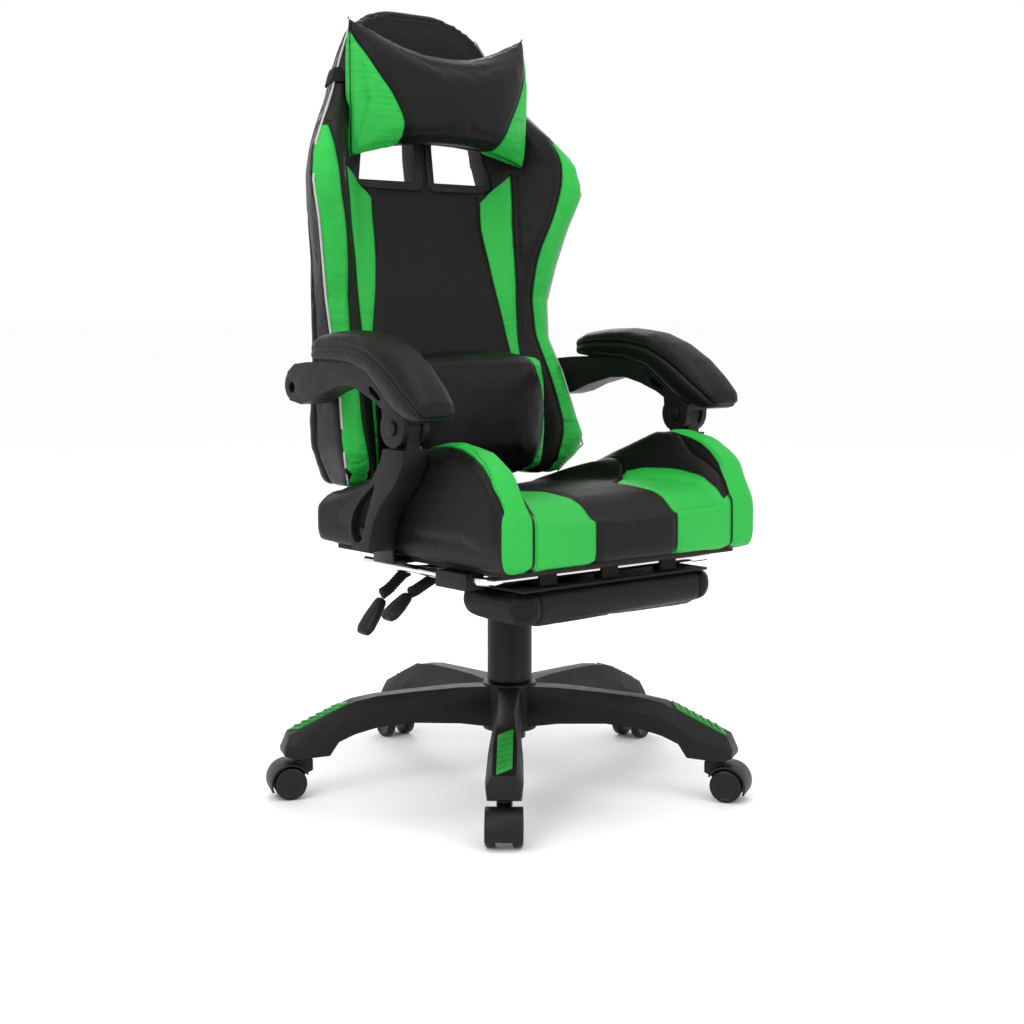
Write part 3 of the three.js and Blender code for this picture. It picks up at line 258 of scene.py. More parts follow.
def only(piece):
    bpy.ops.object.select_all(action="DESELECT")
    piece.select_set(True)
    bpy.context.view_layer.objects.active = piece


def apply(piece, kind, **settings):
    """Adds a modifier, sets it and applies it."""
    only(piece)
    modifier = piece.modifiers.new(kind.title(), kind)
    for key, value in settings.items():
        setattr(modifier, key, value)
    bpy.ops.object.modifier_apply(modifier=modifier.name)


def taken(name, *nodes):
    """A merged copy of one or more CAD pieces, to be worked on."""
    bpy.ops.object.select_all(action="DESELECT")
    copies = []
    for node in nodes:
        copy = frame["nodes"][node].copy()
        copy.data = copy.data.copy()
        copy.parent = None
        copy.name = name
        for key in list(copy.keys()):
            del copy[key]
        bpy.context.collection.objects.link(copy)
        copies.append(copy)
        copy.select_set(True)
    piece = copies[0]
    bpy.context.view_layer.objects.active = piece
    if len(copies) > 1:
        bpy.ops.object.join()
    piece.name = name
    bpy.ops.object.mode_set(mode="EDIT")
    bpy.ops.mesh.select_all(action="SELECT")
    bpy.ops.mesh.remove_doubles(threshold=0.00002)
    bpy.ops.object.mode_set(mode="OBJECT")
    return piece


def eased(name, node, body, edge, material, sharp=30, steps=2):
    """A hard moulding or machined part with its real edges broken by a small round."""
    piece = taken(name, node)
    only(piece)
    bpy.ops.object.mode_set(mode="EDIT")
    bpy.ops.mesh.select_all(action="SELECT")
    bpy.ops.mesh.dissolve_limited(angle_limit=radians(1))
    bpy.ops.object.mode_set(mode="OBJECT")
    apply(piece, "BEVEL", width=edge, segments=steps, limit_method="ANGLE", angle_limit=radians(sharp),
          use_clamp_overlap=True, miter_outer="MITER_ARC")
    apply(piece, "TRIANGULATE", quad_method="BEAUTY")
    only(piece)
    bpy.ops.object.shade_smooth_by_angle(angle=radians(sharp + 6))
    dress(piece, material)
    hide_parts(node)
    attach(piece, body)
    return piece


LEGS = 5
eased("star_base_moulding", "star_base", "base", 0.0022, NYLON, sharp=24, steps=3)


def ribbed_green():
    """Green moulded plastic, a little translucent-looking at the ribs."""
    made = Finish("green_plastic", Roughness=0.42, Specular_IOR_Level=0.5)
    shade = made.noise(40, 2)
    made.paint(shade.between((0.008, 0.17, 0.018), (0.014, 0.27, 0.030)))
    made.relief((made.noise(900, 1), 0.0001))
    return made.material


GREEN_PLASTIC = ribbed_green()
RIBS = 6


def leg_plate(number):
    """A leg's green plate: the slanted plate with raised slanting ribs standing on it."""
    node = f"leg_insert_{number}"
    plate = eased(f"leg_plate_{number}", node, "base", 0.0006, GREEN_PLASTIC)
    corners = [v.co.copy() for v in frame["nodes"][node].data.vertices]
    centre = sum(corners, Vector()) / len(corners)
    away = centre - column
    away.z = 0
    out = away.normalized()
    side = Vector((-out.y, out.x, 0))
    run = max(c.dot(out) for c in corners) - min(c.dot(out) for c in corners)
    drop = max(c.z for c in corners) - min(c.z for c in corners) - 0.005
    slope = (out * run - Vector((0, 0, drop))).normalized()
    up = side.cross(slope)
    if up.z < 0:
        up.negate()
    high = max((c - centre).dot(up) for c in corners)
    reach = max(abs((c - centre).dot(slope)) for c in corners)
    for rib in range(RIBS):
        share = (rib + 0.5) / RIBS * 2 - 1
        at = centre + slope * (share * (reach - 0.012)) + up * high
        bpy.ops.object.select_all(action="DESELECT")
        bpy.ops.mesh.primitive_cube_add(size=1)
        bar = bpy.context.object
        bar.name = f"leg_rib_{number}_{rib + 1}"
        lean = (side * 0.0088 - slope * 0.0062)
        for vertex in bar.data.vertices:
            along, across, height = vertex.co
            vertex.co = at + slope * (along * 0.0042) + lean * (across * 2) + up * (height * 0.0024)
        bpy.ops.object.mode_set(mode="EDIT")
        bpy.ops.mesh.normals_make_consistent(inside=False)
        bpy.ops.object.mode_set(mode="OBJECT")
        apply(bar, "BEVEL", width=0.0008, segments=2)
        bpy.ops.object.shade_smooth_by_angle(angle=radians(40))
        dress(bar, GREEN_PLASTIC)
        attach(bar, "base")


for number in range(1, LEGS + 1):
    leg_plate(number)

# ---------------------------------------------------------------- castors
# Twin-wheel castors in hard nylon: a hooded yoke on a steel stem, and two wheels on one axle. The
# wheels are turned smooth on the tread and dished on their outer faces.


def hard_nylon():
    """Smooth black nylon, polished by the floor on the treads."""
    made = Finish("castor_nylon", Specular_IOR_Level=0.28)
    made.paint(made.noise(25, 3).between((0.003, 0.003, 0.003), (0.007, 0.0065, 0.0065)))
    made.dull(0.26 + made.noise(120, 3) * 0.2)
    made.relief((made.noise(700, 2), 0.00008))
    return made.material


CASTOR_NYLON = hard_nylon()
WHEEL_RADIUS = 0.025
WHEEL_FACE = 0.027
WHEEL_INNER = 0.0115


def spun(name, profile, centre, axis, sides=48):
    """A closed profile of (along, radius) points, spun round an axis through centre."""
    bpy.ops.object.select_all(action="DESELECT")
    bpy.ops.mesh.primitive_circle_add(vertices=len(profile), radius=0.01)
    piece = bpy.context.object
    piece.name = name
    for vertex, (along_axis, radius) in zip(piece.data.vertices, profile):
        vertex.co = (radius, 0, along_axis)
    bpy.ops.object.mode_set(mode="EDIT")
    bpy.ops.mesh.select_all(action="SELECT")
    bpy.ops.mesh.spin(steps=sides, angle=2 * pi, center=(0, 0, 0), axis=(0, 0, 1))
    bpy.ops.mesh.select_all(action="SELECT")
    bpy.ops.mesh.remove_doubles(threshold=0.00001)
    bpy.ops.mesh.normals_make_consistent(inside=False)
    bpy.ops.object.mode_set(mode="OBJECT")
    turn = axis.to_track_quat("Z", "X").to_matrix().to_4x4()
    turn.translation = centre
    piece.data.transform(turn)
    bpy.ops.object.shade_smooth_by_angle(angle=radians(35))
    return piece


def wheel_profile():
    """From the middle of the axle out to one wheel's dished face."""
    half = [(0.0, 0.0028), (WHEEL_INNER, 0.0028), (WHEEL_INNER, 0.020), (WHEEL_INNER + 0.0008, 0.0238)]
    half += [(WHEEL_INNER + 0.0022, 0.0247), (0.0190, WHEEL_RADIUS), (0.0232, 0.0248), (0.0255, 0.0238)]
    half += [(0.0266, 0.0218), (WHEEL_FACE, 0.0195), (0.0262, 0.0180), (0.0252, 0.0120), (0.0256, 0.0080)]
    half += [(0.0264, 0.0052), (0.0266, 0.0004)]
    return [(-along, radius) for along, radius in reversed(half[1:])] + half[1:]


for number in range(1, LEGS + 1):
    eased(f"castor_hood_{number}", f"castor_yoke_{number}", f"castor_{number}", 0.0012,
          NYLON, sharp=35)
    low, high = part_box(f"castor_wheels_{number}")
    axle = (low + high) / 2
    axle.z = WHEEL_RADIUS
    roll = next(j for j in frame["joints"] if j["name"] == f"castor_{number}_roll")["axis"]
    wheels = spun(f"castor_wheel_pair_{number}", wheel_profile(), axle, Vector(roll))
    dress(wheels, CASTOR_NYLON)
    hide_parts(f"castor_wheels_{number}")
    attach(wheels, f"castor_wheels_{number}")

# ---------------------------------------------------------------- gas lift
# A chromed rod in a painted steel tube, hidden by three telescopic sleeves of black nylon.


def powder_coat():
    """Black powder coat over steel, with its slight orange peel."""
    made = Finish("black_steel", Roughness=0.34, Specular_IOR_Level=0.3)
    made.paint(made.noise(15, 2).between((0.004, 0.004, 0.0045), (0.009, 0.009, 0.0095)))
    made.relief((made.noise(420, 2), 0.00015))
    return made.material


def plated():
    """Bright chrome, with faint polishing haze."""
    made = Finish("chrome", Metallic=1.0, Base_Color=(0.80, 0.79, 0.79, 1))
    made.dull(0.06 + made.noise(30, 3) * 0.10)
    made.relief((made.noise(260, 1), 0.00003))
    return made.material


STEEL = powder_coat()
CHROME = plated()
eased("gas_tube", "gas_lift_tube", "base", 0.0008, STEEL)
eased("gas_rod", "gas_lift_rod", "lift", 0.0008, STEEL)
eased("lift_sleeve_lower", "lift_cover_lower", "base", 0.0006, NYLON)
eased("lift_sleeve_middle", "lift_cover_middle", "cover", 0.0006, NYLON)


def outer_sleeve():
    """The sleeve that shows: a rolled lip at its foot and a shallow step near the top."""
    low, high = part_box("lift_cover_upper")
    centre = (low + high) / 2
    half = (high.z - low.z) / 2
    radius = (high.x - low.x) / 2
    wall = 0.002
    barrel = radius - 0.0006
    neck = radius - 0.0012
    lip = [(-half, radius - wall), (-half, barrel), (0.001 - half, radius), (0.006 - half, radius)]
    body = [(0.007 - half, barrel), (half - 0.030, barrel), (half - 0.028, neck), (half - 0.001, neck)]
    mouth = [(half, radius - wall), (half - 0.001, radius - wall - 0.0003)]
    profile = lip + body + mouth
    piece = spun("lift_sleeve_upper", profile, centre, Vector((0, 0, 1)), 64)
    dress(piece, NYLON)
    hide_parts("lift_cover_upper")
    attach(piece, "seat")


outer_sleeve()

# ---------------------------------------------------------------- under the seat
# A pressed-steel tilt box bolted to a black-stained plywood board, with a steel foot for each arm let
# into the board, and a nylon guide screwed under each side for the footrest's rail.


def plywood():
    """Plywood stained black: the long grain still shows as streaks."""
    made = Finish("plywood", Roughness=0.66, Specular_IOR_Level=0.25)
    stretched = made.place.node("Mapping", {}, {"Vector": made.place, "Scale": (6, 90, 260)})
    grain = made.place.node("TexNoise", {}, {"Vector": stretched, "Scale": 1.5, "Detail": 5})
    made.paint(grain.between((0.006, 0.005, 0.004), (0.018, 0.014, 0.011)))
    made.relief((grain, 0.0003))
    return made.material


PLYWOOD = plywood()
eased("tilt_box", "tilt_mechanism", "seat", 0.0016, STEEL, sharp=35)
eased("board_under_seat", "seat_board", "seat", 0.0010, PLYWOOD)
for side in ("right", "left"):
    eased(f"arm_foot_{side}", f"arm_bracket_{side}", "seat", 0.0010, STEEL, sharp=40)
    eased(f"rail_guide_{side}", f"footrest_guide_{side}", "seat", 0.0030, NYLON,
          sharp=40, steps=3)

# ---------------------------------------------------------------- levers
# Two steel rods leave the tilt box on the sitter's right: one for height and one for the back. Each
# wears a ribbed rubber sleeve over its bend and a moulded paddle at its end.


def ribbed_rubber():
    """Dull black rubber, with a fine moulded skin."""
    made = Finish("rubber", Roughness=0.75, Specular_IOR_Level=0.2)
    made.paint(made.noise(50, 2).between((0.005, 0.005, 0.005), (0.010, 0.010, 0.010)))
    made.relief((made.noise(900, 2), 0.0002))
    return made.material


RUBBER = ribbed_rubber()
SLEEVE_RIBS = 14
SLEEVE_RADIUS = 0.0088


def drawn(name, points, radius, swell=None, round_steps=5):
    """A round bar along points, closed at both ends; swell is its relative thickness at each."""
    bpy.ops.object.select_all(action="DESELECT")
    bpy.ops.curve.primitive_nurbs_path_add(location=(0, 0, 0))
    piece = bpy.context.object
    piece.name = name
    piece.data.splines.clear()
    line = piece.data.splines.new("POLY")
    line.points.add(len(points) - 1)
    for k, (spot, point) in enumerate(zip(line.points, points)):
        spot.co = (*point, 1)
        spot.radius = swell[k] if swell else 1
    piece.data.dimensions = "3D"
    piece.data.bevel_depth = radius
    piece.data.bevel_resolution = round_steps
    piece.data.use_fill_caps = True
    bpy.ops.object.convert(target="MESH")
    bpy.ops.object.mode_set(mode="EDIT")
    bpy.ops.mesh.select_all(action="SELECT")
    bpy.ops.mesh.remove_doubles(threshold=0.00001)
    bpy.ops.mesh.normals_make_consistent(inside=False)
    bpy.ops.object.mode_set(mode="OBJECT")
    bpy.ops.object.shade_smooth_by_angle(angle=radians(50))
    return piece


def ribbed_sleeve(lever):
    """The rubber sleeve: it follows the rod's bend, with a rib at every pitch."""
    points = [v.co for v in frame["nodes"][f"{lever}_bellows"].data.vertices]
    low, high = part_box(f"{lever}_bellows")
    middle = (low.y + high.y) / 2
    slices = 7
    spine = []
    for k in range(slices):
        at = high.x - (high.x - low.x) * (0.06 + 0.88 * k / (slices - 1))
        near = [p.z for p in points if abs(p.x - at) < 0.008]
        spine.append(Vector((at, middle, (max(near) + min(near)) / 2)))
    rings = SLEEVE_RIBS * 6 + 1
    path = []
    for k in range(rings):
        share = k / (rings - 1) * (slices - 1)
        index = min(int(share), slices - 2)
        path.append(spine[index].lerp(spine[index + 1], share - index))
    swell = [1 - 0.27 * (0.5 + 0.5 * cos(2 * pi * k / 6)) ** 1.5 for k in range(rings)]
    piece = drawn(f"{lever}_sleeve", path, SLEEVE_RADIUS, swell)
    dress(piece, RUBBER)
    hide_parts(f"{lever}_bellows")
    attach(piece, lever)


for lever in ("height_lever", "recline_lever"):
    eased(f"{lever}_bar", f"{lever}_rod", lever, 0.0004, STEEL, sharp=50)
    ribbed_sleeve(lever)
    eased(f"{lever}_grip", f"{lever}_paddle", lever, 0.0030, NYLON, sharp=20, steps=3)

# ---------------------------------------------------------------- footrest
# A chromed steel loop slides in the two guides. A plywood board clipped round its front bar carries a
# black padded cushion, which flips over when the loop is drawn out.


RAIL_RADIUS = 0.0065
RAIL_BEND = 0.024


def rail():
    """The chromed loop: two straight sides and a front bar, with a bend at each corner."""
    low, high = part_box("footrest_frame")
    z = (low.z + high.z) / 2
    left, right, front = low.x + RAIL_RADIUS, high.x - RAIL_RADIUS, low.y + RAIL_RADIUS
    steps = 12
    centre_y = front + RAIL_BEND
    points = [Vector((left, high.y, z)), Vector((left, centre_y + 0.05, z))]
    for k in range(steps + 1):
        a = pi + pi / 2 * k / steps
        points.append(Vector((left + RAIL_BEND + RAIL_BEND * cos(a), centre_y + RAIL_BEND * sin(a), z)))
    for k in range(steps + 1):
        a = -pi / 2 + pi / 2 * k / steps
        points.append(Vector((right - RAIL_BEND + RAIL_BEND * cos(a), centre_y + RAIL_BEND * sin(a), z)))
    points += [Vector((right, centre_y + 0.05, z)), Vector((right, high.y, z))]
    bar = drawn("footrest_loop", points, RAIL_RADIUS, round_steps=8)
    dress(bar, CHROME)
    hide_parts("footrest_frame")
    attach(bar, "footrest_rail")


rail()
eased("footrest_plate", "footrest_board", "footrest", 0.0010, PLYWOOD, sharp=40)


def along(line, value):
    """The result of a line of (value, result) points at value, straight between its points."""
    if value <= line[0][0]:
        return line[0][1]
    for (v0, r0), (v1, r1) in zip(line, line[1:]):
        if value <= v1:
            return r0 + (r1 - r0) * (value - v0) / (v1 - v0)
    return line[-1][1]


def faired(points, steps=24):
    """A seam's line, made smooth through its few points."""
    low, high = points[0][0], points[-1][0]
    fine = [(low + (high - low) * k / 96) for k in range(97)]
    level = [along(points, value) for value in fine]
    for _ in range(12):
        inside = [(a + 2 * b + c) / 4 for a, b, c in zip(level, level[1:], level[2:])]
        level = [level[0]] + inside + [level[-1]]
    pairs = list(zip(fine, level))
    stops = [low + (high - low) * k / steps for k in range(steps + 1)]
    return [(stop, along(pairs, stop)) for stop in stops]


def puffed(name, node, voxel, pressure, cap, smooth=4, shrink=0.001, frames=20):
    """An upholstered form: the CAD solid remeshed and blown up as cloth, keeping only what moves outwards
    or sideways, and no more of it than cap."""
    piece = taken(name, node)
    apply(piece, "REMESH", mode="VOXEL", voxel_size=voxel)
    apply(piece, "SMOOTH", factor=0.5, iterations=smooth)
    outward = [v.normal.copy() for v in piece.data.vertices]
    for vertex, normal in zip(piece.data.vertices, outward):
        vertex.co -= normal * shrink
    start = [v.co.copy() for v in piece.data.vertices]
    only(piece)
    cloth = piece.modifiers.new("Cloth", "CLOTH")
    cloth.settings.quality = 4
    cloth.settings.use_pressure = True
    cloth.settings.uniform_pressure_force = pressure
    cloth.settings.tension_stiffness = 12
    cloth.settings.bending_stiffness = 0.6
    cloth.settings.effector_weights.gravity = 0
    cloth.collision_settings.use_collision = False
    cloth.point_cache.frame_end = frames
    scene = bpy.context.scene
    for step in range(1, frames + 1):
        scene.frame_set(step)
    blown = piece.evaluated_get(bpy.context.evaluated_depsgraph_get())
    moved = [v.co.copy() for v in blown.data.vertices]
    piece.modifiers.remove(cloth)
    scene.frame_set(1)
    for vertex, rest, now, normal in zip(piece.data.vertices, start, moved, outward):
        shift = now - rest
        shift -= normal * min(shift.dot(normal), 0)
        if shift.length > cap:
            shift *= cap / shift.length
        vertex.co = rest + shift
    apply(piece, "SUBSURF", levels=1, render_levels=1)
    only(piece)
    bpy.ops.object.shade_smooth()
    return piece


def sewn(piece, depth, width, *seams):
    """Pulls the cover in along its seams: each seam is a signed distance at (x, y, z) on the chair."""
    piece.data.update()
    normals = [v.normal.copy() for v in piece.data.vertices]
    for vertex, normal in zip(piece.data.vertices, normals):
        x, y, z = vertex.co - column
        near = min(abs(seam(abs(x), y, z)) for seam in seams) / width
        if near < 1:
            vertex.co -= normal * (depth * (1 - near * near) ** 2)
    piece.data.update()


BLACK = (0.0026, 0.0024, 0.0023)
BLACK_LIT = (0.0052, 0.0048, 0.0046)
GREEN = (0.026, 0.440, 0.062)
GREEN_DEEP = (0.018, 0.340, 0.046)


def hide(made, green=None, seams=(), stitches=(), gathers=None):
    """Coated leather: its colour, gloss and grain, its seams pressed in with painted shade darkening each
    seam's groove, its stitching and its gathers.
    """
    pale = made.noise(7, 3)
    colour = pale.between(BLACK, BLACK_LIT)
    if green is not None:
        colour = green.between(colour, pale.between(GREEN_DEEP, GREEN))
    layers = [(made.cells(900), 0.00018), (made.noise(34, 4, 0.6), 0.0012)]
    for distance in seams:
        groove_and_shade = (abs(distance) / 0.0026).clamp()
        layers.append((groove_and_shade, 0.0018))
        # painted shade: the colour darkens to near black along each seam's groove, where the crease falls
        # in shade
        colour = groove_and_shade.between((0.0015, 0.0018, 0.0015), colour)
    for distance, run in stitches:
        thread = abs(distance).below(0.0007, 0.0006) * (run * 190).math("FRACT").below(0.66, 0.12)
        layers.append((thread, 0.0007))
        colour = (thread * 0.5).between(colour, (0.03, 0.05, 0.03))
    if gathers is not None:
        layers.append(gathers)
    made.paint(colour)
    made.dull(0.36 + made.noise(90, 3) * 0.14)
    made.relief(*layers)
    return made.material


def folds(made, across, upward):
    """Soft creases, longer one way than the other: how many a metre each way."""
    stretched = made.place.node("Mapping", {}, {"Vector": made.place, "Scale": (across, across, upward)})
    sockets = {"Vector": stretched, "Scale": 1.0, "Detail": 2, "Distortion": 0.9}
    return made.place.node("TexNoise", {}, sockets)


def upholstered(piece, node, body, material):
    """A finished padded piece: its leather, the CAD solid it stands for and its body."""
    dress(piece, material)
    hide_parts(node)
    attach(piece, body)


LEATHER_SHINE = 0.17
FOOTREST_SEAM = 0.158


def footrest_leather():
    made = Finish("footrest_leather", Specular_IOR_Level=LEATHER_SHINE)
    corner = abs(made.x) - FOOTREST_SEAM
    return hide(made, seams=[corner], stitches=[(corner + 0.005, made.z)])


pad = puffed("footrest_cushion", "footrest_pad", 0.005, 4, 0.006, smooth=6)
sewn(pad, 0.002, 0.008, lambda x, y, z: x - FOOTREST_SEAM)
upholstered(pad, "footrest_pad", "footrest", footrest_leather())

# ---------------------------------------------------------------- seat cushion
# A deep bucket cushion in coated leather over foam. The middle of the pan is black between two green
# panels; each bolster is black inside and out, with a green band along its crest that narrows to piping.
SEAT_CREST = faired([(-0.292, 0.470), (-0.262, 0.520), (-0.219, 0.546), (-0.163, 0.556), (-0.105, 0.550),
                     (-0.020, 0.520), (0.070, 0.482), (0.176, 0.460)])
SEAT_STRIP = faired([(-0.300, 0.080), (-0.190, 0.082), (-0.150, 0.092), (-0.100, 0.135), (-0.055, 0.195),
                     (0.10, 0.230)])
SEAT_BAND = faired([(-0.300, 0.197), (-0.200, 0.200), (-0.160, 0.209), (-0.120, 0.222), (-0.080, 0.233),
                    (0.176, 0.2355)])
SEAT_DROP = faired([(-0.300, 0.030), (-0.284, 0.028), (-0.263, 0.017), (-0.225, 0.011), (-0.174, 0.008),
                    (-0.070, 0.006), (0.176, 0.005)], 32)
SEAT_FACE = -0.281
SEAT_CREASE = 0.186
SEAT_EDGE = 0.230
FACE_SEAM = 0.196
FACE_STITCH = 0.1915
FACE_EDGE = 0.2475


def seat_leather():
    made = Finish("seat_leather", Specular_IOR_Level=LEATHER_SHINE)
    x = abs(made.x)
    face = made.y.below(SEAT_FACE, 0.002)
    rim = made.z - (made.y.follow(SEAT_CREST) - made.y.follow(SEAT_DROP))
    strip = x - made.y.follow(SEAT_STRIP)
    inner = x - made.y.follow(SEAT_BAND)
    band = inner.above(0) * (rim.above(0) + face).clamp()
    pan = x.below(SEAT_CREASE) * strip.above(0) * (1 - face)
    front = strip.above(0) * face * x.below(FACE_EDGE)
    green = (band + pan + front).clamp()
    seams = [strip, inner, rim + x.below(SEAT_EDGE) + face, x - FACE_SEAM + (1 - face)]
    stitches = [(rim - 0.006 + x.below(SEAT_EDGE) + face, made.y), (x - FACE_STITCH + (1 - face), made.z)]
    return hide(made, green, seams, stitches)


def below_crest(x, y, z):
    """The seam under a bolster's green band, on its outer side only."""
    if x > SEAT_EDGE and y > SEAT_FACE:
        return z - along(SEAT_CREST, y) + along(SEAT_DROP, y)
    return 1


seat = puffed("bucket_cushion", "seat_cushion", 0.0065, 3, 0.005, smooth=3)
sewn(seat, 0.0028, 0.011,
     lambda x, y, z: x - along(SEAT_STRIP, y),
     lambda x, y, z: x - along(SEAT_BAND, y),
     below_crest,
     lambda x, y, z: x - FACE_SEAM if y < SEAT_FACE else 1)
upholstered(seat, "seat_cushion", "seat", seat_leather())

# ---------------------------------------------------------------- backrest
# A steel loop between a foam front and a moulded rear, both covered in coated leather. The front has
# a black middle, green flashes beside it, black wings and a green band round each wing's outside.
BACK_EDGE = [(0.466, 0.135), (0.490, 0.107), (0.530, 0.101), (0.620, 0.133), (0.700, 0.168), (0.780, 0.175),
             (0.860, 0.154), (0.940, 0.137), (0.985, 0.145), (1.030, 0.171), (1.068, 0.201), (1.226, 0.255)]
WING_RIDGE = faired([(0.460, 0.186), (0.500, 0.192), (0.550, 0.205), (0.600, 0.200), (0.640, 0.194),
                     (0.690, 0.189), (0.760, 0.187), (0.810, 0.190), (0.850, 0.197), (0.900, 0.214),
                     (0.940, 0.223), (0.990, 0.230), (1.030, 0.226), (1.080, 0.205)], 32)
FLASH_OUT = faired([(0.460, 0.155), (0.670, 0.158), (0.760, 0.162), (0.860, 0.164), (0.980, 0.168)])
FLASH_IN = faired([(0.460, 0.148), (0.600, 0.145), (0.670, 0.140), (0.730, 0.131), (0.770, 0.122),
                   (0.820, 0.115), (0.870, 0.109), (0.980, 0.112)])
FLASH_TOP = 0.824
FLASH_SLOPE = 0.855
BAND_TOP = 1.023


def back_leather():
    made = Finish("back_leather", Specular_IOR_Level=LEATHER_SHINE)
    x = abs(made.x)
    ahead = (made.y - made.z.follow(BACK_EDGE)).below(0, 0.001)
    ridge = x - made.z.follow(WING_RIDGE)
    outer = x - made.z.follow(FLASH_OUT)
    inner = x - made.z.follow(FLASH_IN)
    crown = made.z + (x - 0.228) * (x - 0.228) * 14
    slant = made.z - x * FLASH_SLOPE - FLASH_TOP
    band = ridge.above(0) * ahead * crown.below(BAND_TOP)
    flash = inner.above(0) * outer.below(0) * slant.below(0)
    high = made.z.above(0.97, 0.001)
    along_ridge = ridge + made.z.above(BAND_TOP)
    over_band = crown - BAND_TOP + (1 - ridge.above(0))
    seams = [along_ridge, outer + high, inner + slant.above(0), over_band]
    stitches = [(ridge + 0.006 + made.z.above(BAND_TOP), made.z)]
    loose = (band + flash) * made.z.below(0.70, 0.3)
    gathers = (folds(made, 16, 48) * loose, 0.007)
    return hide(made, (band + flash).clamp(), seams, stitches, gathers)


front = puffed("back_upholstery", "back_cushion", 0.0062, 3, 0.004, smooth=3, shrink=0)
sewn(front, 0.0028, 0.011,
     lambda x, y, z: x - along(WING_RIDGE, z) if z < 1.03 else 1,
     lambda x, y, z: x - along(FLASH_OUT, z) if z < 0.97 else 1,
     lambda x, y, z: x - along(FLASH_IN, z) if z < 0.93 else 1)
upholstered(front, "back_cushion", "back", back_leather())

REAR_SEAM = 0.150


def shell_leather():
    made = Finish("shell_leather", Specular_IOR_Level=LEATHER_SHINE)
    side = abs(made.x) - REAR_SEAM
    return hide(made, seams=[side], stitches=[(side + 0.005, made.z)])


rear = puffed("rear_cover", "back_shell", 0.0062, 2, 0.003, smooth=3, shrink=0)
sewn(rear, 0.002, 0.009, lambda x, y, z: x - REAR_SEAM if z < 1.03 else 1)
upholstered(rear, "back_shell", "back", shell_leather())


def light_guide():
    """A frosted light guide: milky, unlit, with a soft gloss."""
    made = Finish("light_guide", Roughness=0.35, Specular_IOR_Level=0.5)
    made.paint(made.noise(60, 2).between((0.34, 0.34, 0.34), (0.48, 0.48, 0.48)))
    made.relief((made.noise(500, 1), 0.0001))
    return made.material


seam_light = eased("seam_light", "light_strip", "back", 0.0003, light_guide(), sharp=80)
GUIDE_TUCK = 0.004
GUIDE_DROP = 0.0015
for vertex in seam_light.data.vertices:
    vertex.co.x -= (vertex.co.x - column.x) * GUIDE_TUCK
    vertex.co.z -= GUIDE_DROP
eased("back_tube", "back_frame", "back", 0.0003, STEEL, sharp=60)
for side in ("right", "left"):
    eased(f"belt_ring_{side}", f"hole_trim_{side}", "back", 0.0010, NYLON, sharp=35, steps=3)
    eased(f"recline_arm_{side}", f"hinge_arm_{side}", "back", 0.0006, STEEL, sharp=40)
    eased(f"recline_bolt_{side}", f"hinge_bolt_{side}", "seat", 0.0005, CHROME, sharp=40)

# ---------------------------------------------------------------- pillows
# A butterfly-shaped head pillow on an elastic strap, with green ends, and a lumbar pillow on the
# front of the back. Both are stuffed covers that pull in along their seams.
HEAD_SEAM = faired([(0.950, 0.082), (1.000, 0.095), (1.038, 0.105), (1.072, 0.124), (1.106, 0.146),
                    (1.140, 0.162), (1.175, 0.177), (1.200, 0.184)])
HEAD_MIDDLE = 0.176


def head_leather():
    made = Finish("head_pillow_leather", Specular_IOR_Level=LEATHER_SHINE)
    seam = abs(made.x) - made.z.follow(HEAD_SEAM)
    green = seam.above(0)
    gathered = green * (1 - seam * 16).clamp()
    gathers = (folds(made, 14, 60) * gathered, 0.007)
    return hide(made, green, seams=[seam, made.y - HEAD_MIDDLE], gathers=gathers)


head = puffed("head_cushion", "head_pillow", 0.0048, 5, 0.008, smooth=2, shrink=0.0015)
sewn(head, 0.003, 0.012, lambda x, y, z: x - along(HEAD_SEAM, z), lambda x, y, z: y - HEAD_MIDDLE)
upholstered(head, "head_pillow", "back", head_leather())

LUMBAR_SEAM = faired([(0.460, 0.100), (0.500, 0.108), (0.540, 0.126), (0.590, 0.130), (0.640, 0.112),
                      (0.690, 0.104)])


def lumbar_leather():
    made = Finish("lumbar_leather", Specular_IOR_Level=LEATHER_SHINE)
    seam = abs(made.x) - made.z.follow(LUMBAR_SEAM)
    green = seam.above(0)
    return hide(made, green, seams=[seam], gathers=(folds(made, 20, 55) * green, 0.006))


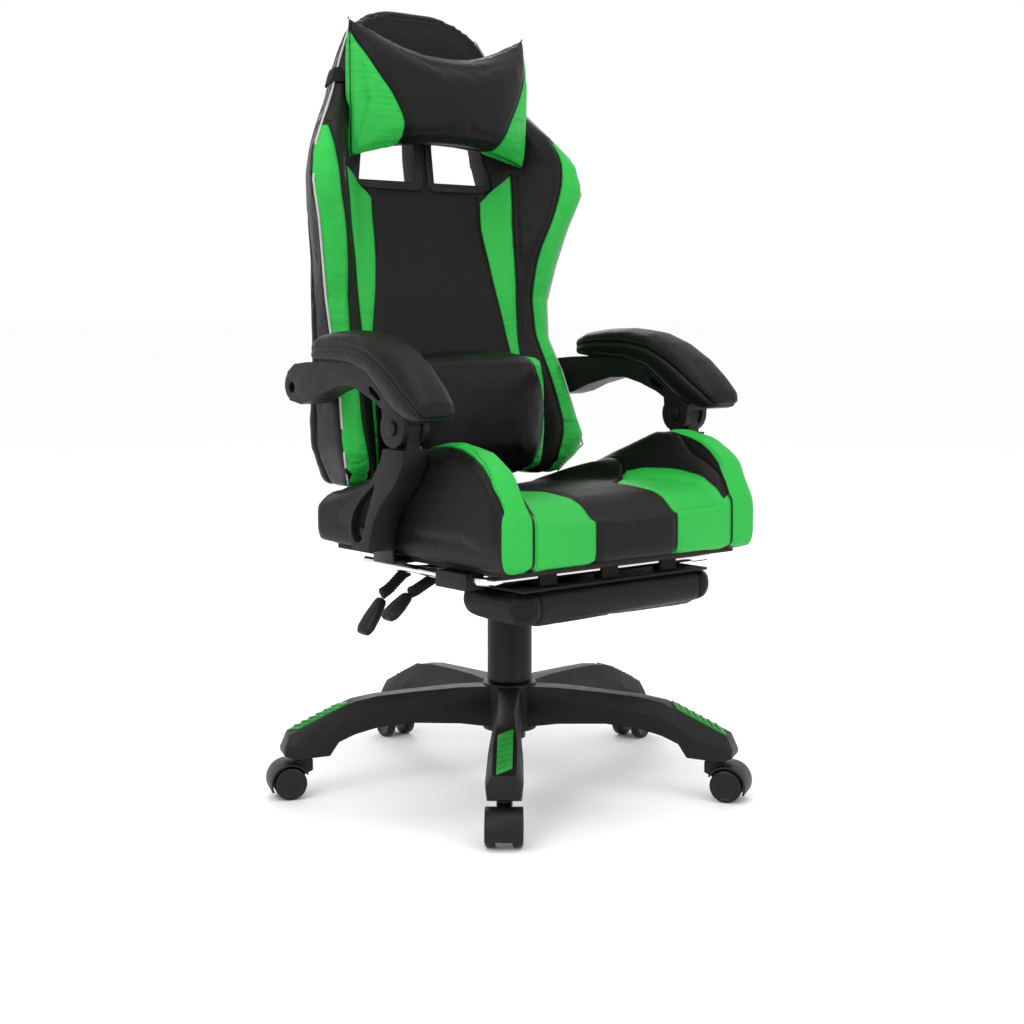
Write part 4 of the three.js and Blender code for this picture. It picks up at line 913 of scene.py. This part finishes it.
lumbar = puffed("lumbar_cushion", "lumbar_pillow", 0.0048, 5, 0.007, smooth=2, shrink=0.0015)
sewn(lumbar, 0.003, 0.012, lambda x, y, z: x - along(LUMBAR_SEAM, z))
upholstered(lumbar, "lumbar_pillow", "back", lumbar_leather())


def webbing():
    """Black woven elastic: fine ribs across the strap."""
    made = Finish("webbing", Roughness=0.85, Specular_IOR_Level=0.2)
    ribs = made.place.node("TexWave", {"bands_direction": "Z"}, {"Vector": made.place, "Scale": 160})
    made.paint(ribs.between((0.002, 0.002, 0.002), (0.007, 0.007, 0.007)))
    made.relief((ribs, 0.0004))
    return made.material


eased("pillow_strap", "head_strap", "back", 0.0004, webbing(), sharp=50)

# ---------------------------------------------------------------- armrests
# Each arm is a nylon upright on a stud at its foot, an arch astride the upright's knuckle, and a
# stitched pad of coated leather on top. The arch's rear lug hangs on a pin in the back's side.
PAD_SEAM = faired([(-0.202, 0.570), (-0.194, 0.590), (-0.178, 0.606), (-0.150, 0.625), (-0.122, 0.645),
                   (-0.090, 0.664), (-0.050, 0.681), (0.0, 0.688), (0.050, 0.688), (0.090, 0.684),
                   (0.120, 0.676)], 32)


def arm_leather():
    made = Finish("arm_leather", Specular_IOR_Level=LEATHER_SHINE)
    seam = (made.z - made.y.follow(PAD_SEAM)) * 0.8
    return hide(made, seams=[seam], stitches=[(seam - 0.004, made.y), (seam + 0.004, made.y)])


ARM_LEATHER = arm_leather()
for side in ("right", "left"):
    post, armrest = f"arm_post_{side}", f"armrest_{side}"
    eased(f"upright_{side}", f"arm_upright_{side}", post, 0.0045, NYLON, sharp=30, steps=3)
    eased(f"arch_{side}", f"arm_arch_{side}", armrest, 0.0030, NYLON, sharp=30, steps=3)
    eased(f"pivot_cap_{side}", f"arm_pivot_bolt_{side}", post, 0.0012, NYLON, sharp=40)
    cushion = puffed(f"arm_cushion_{side}", f"arm_pad_{side}", 0.0042, 5, 0.004, smooth=2)
    sewn(cushion, 0.0018, 0.007, lambda x, y, z: (z - along(PAD_SEAM, y)) * 0.8)
    upholstered(cushion, f"arm_pad_{side}", f"armrest_{side}", ARM_LEATHER)
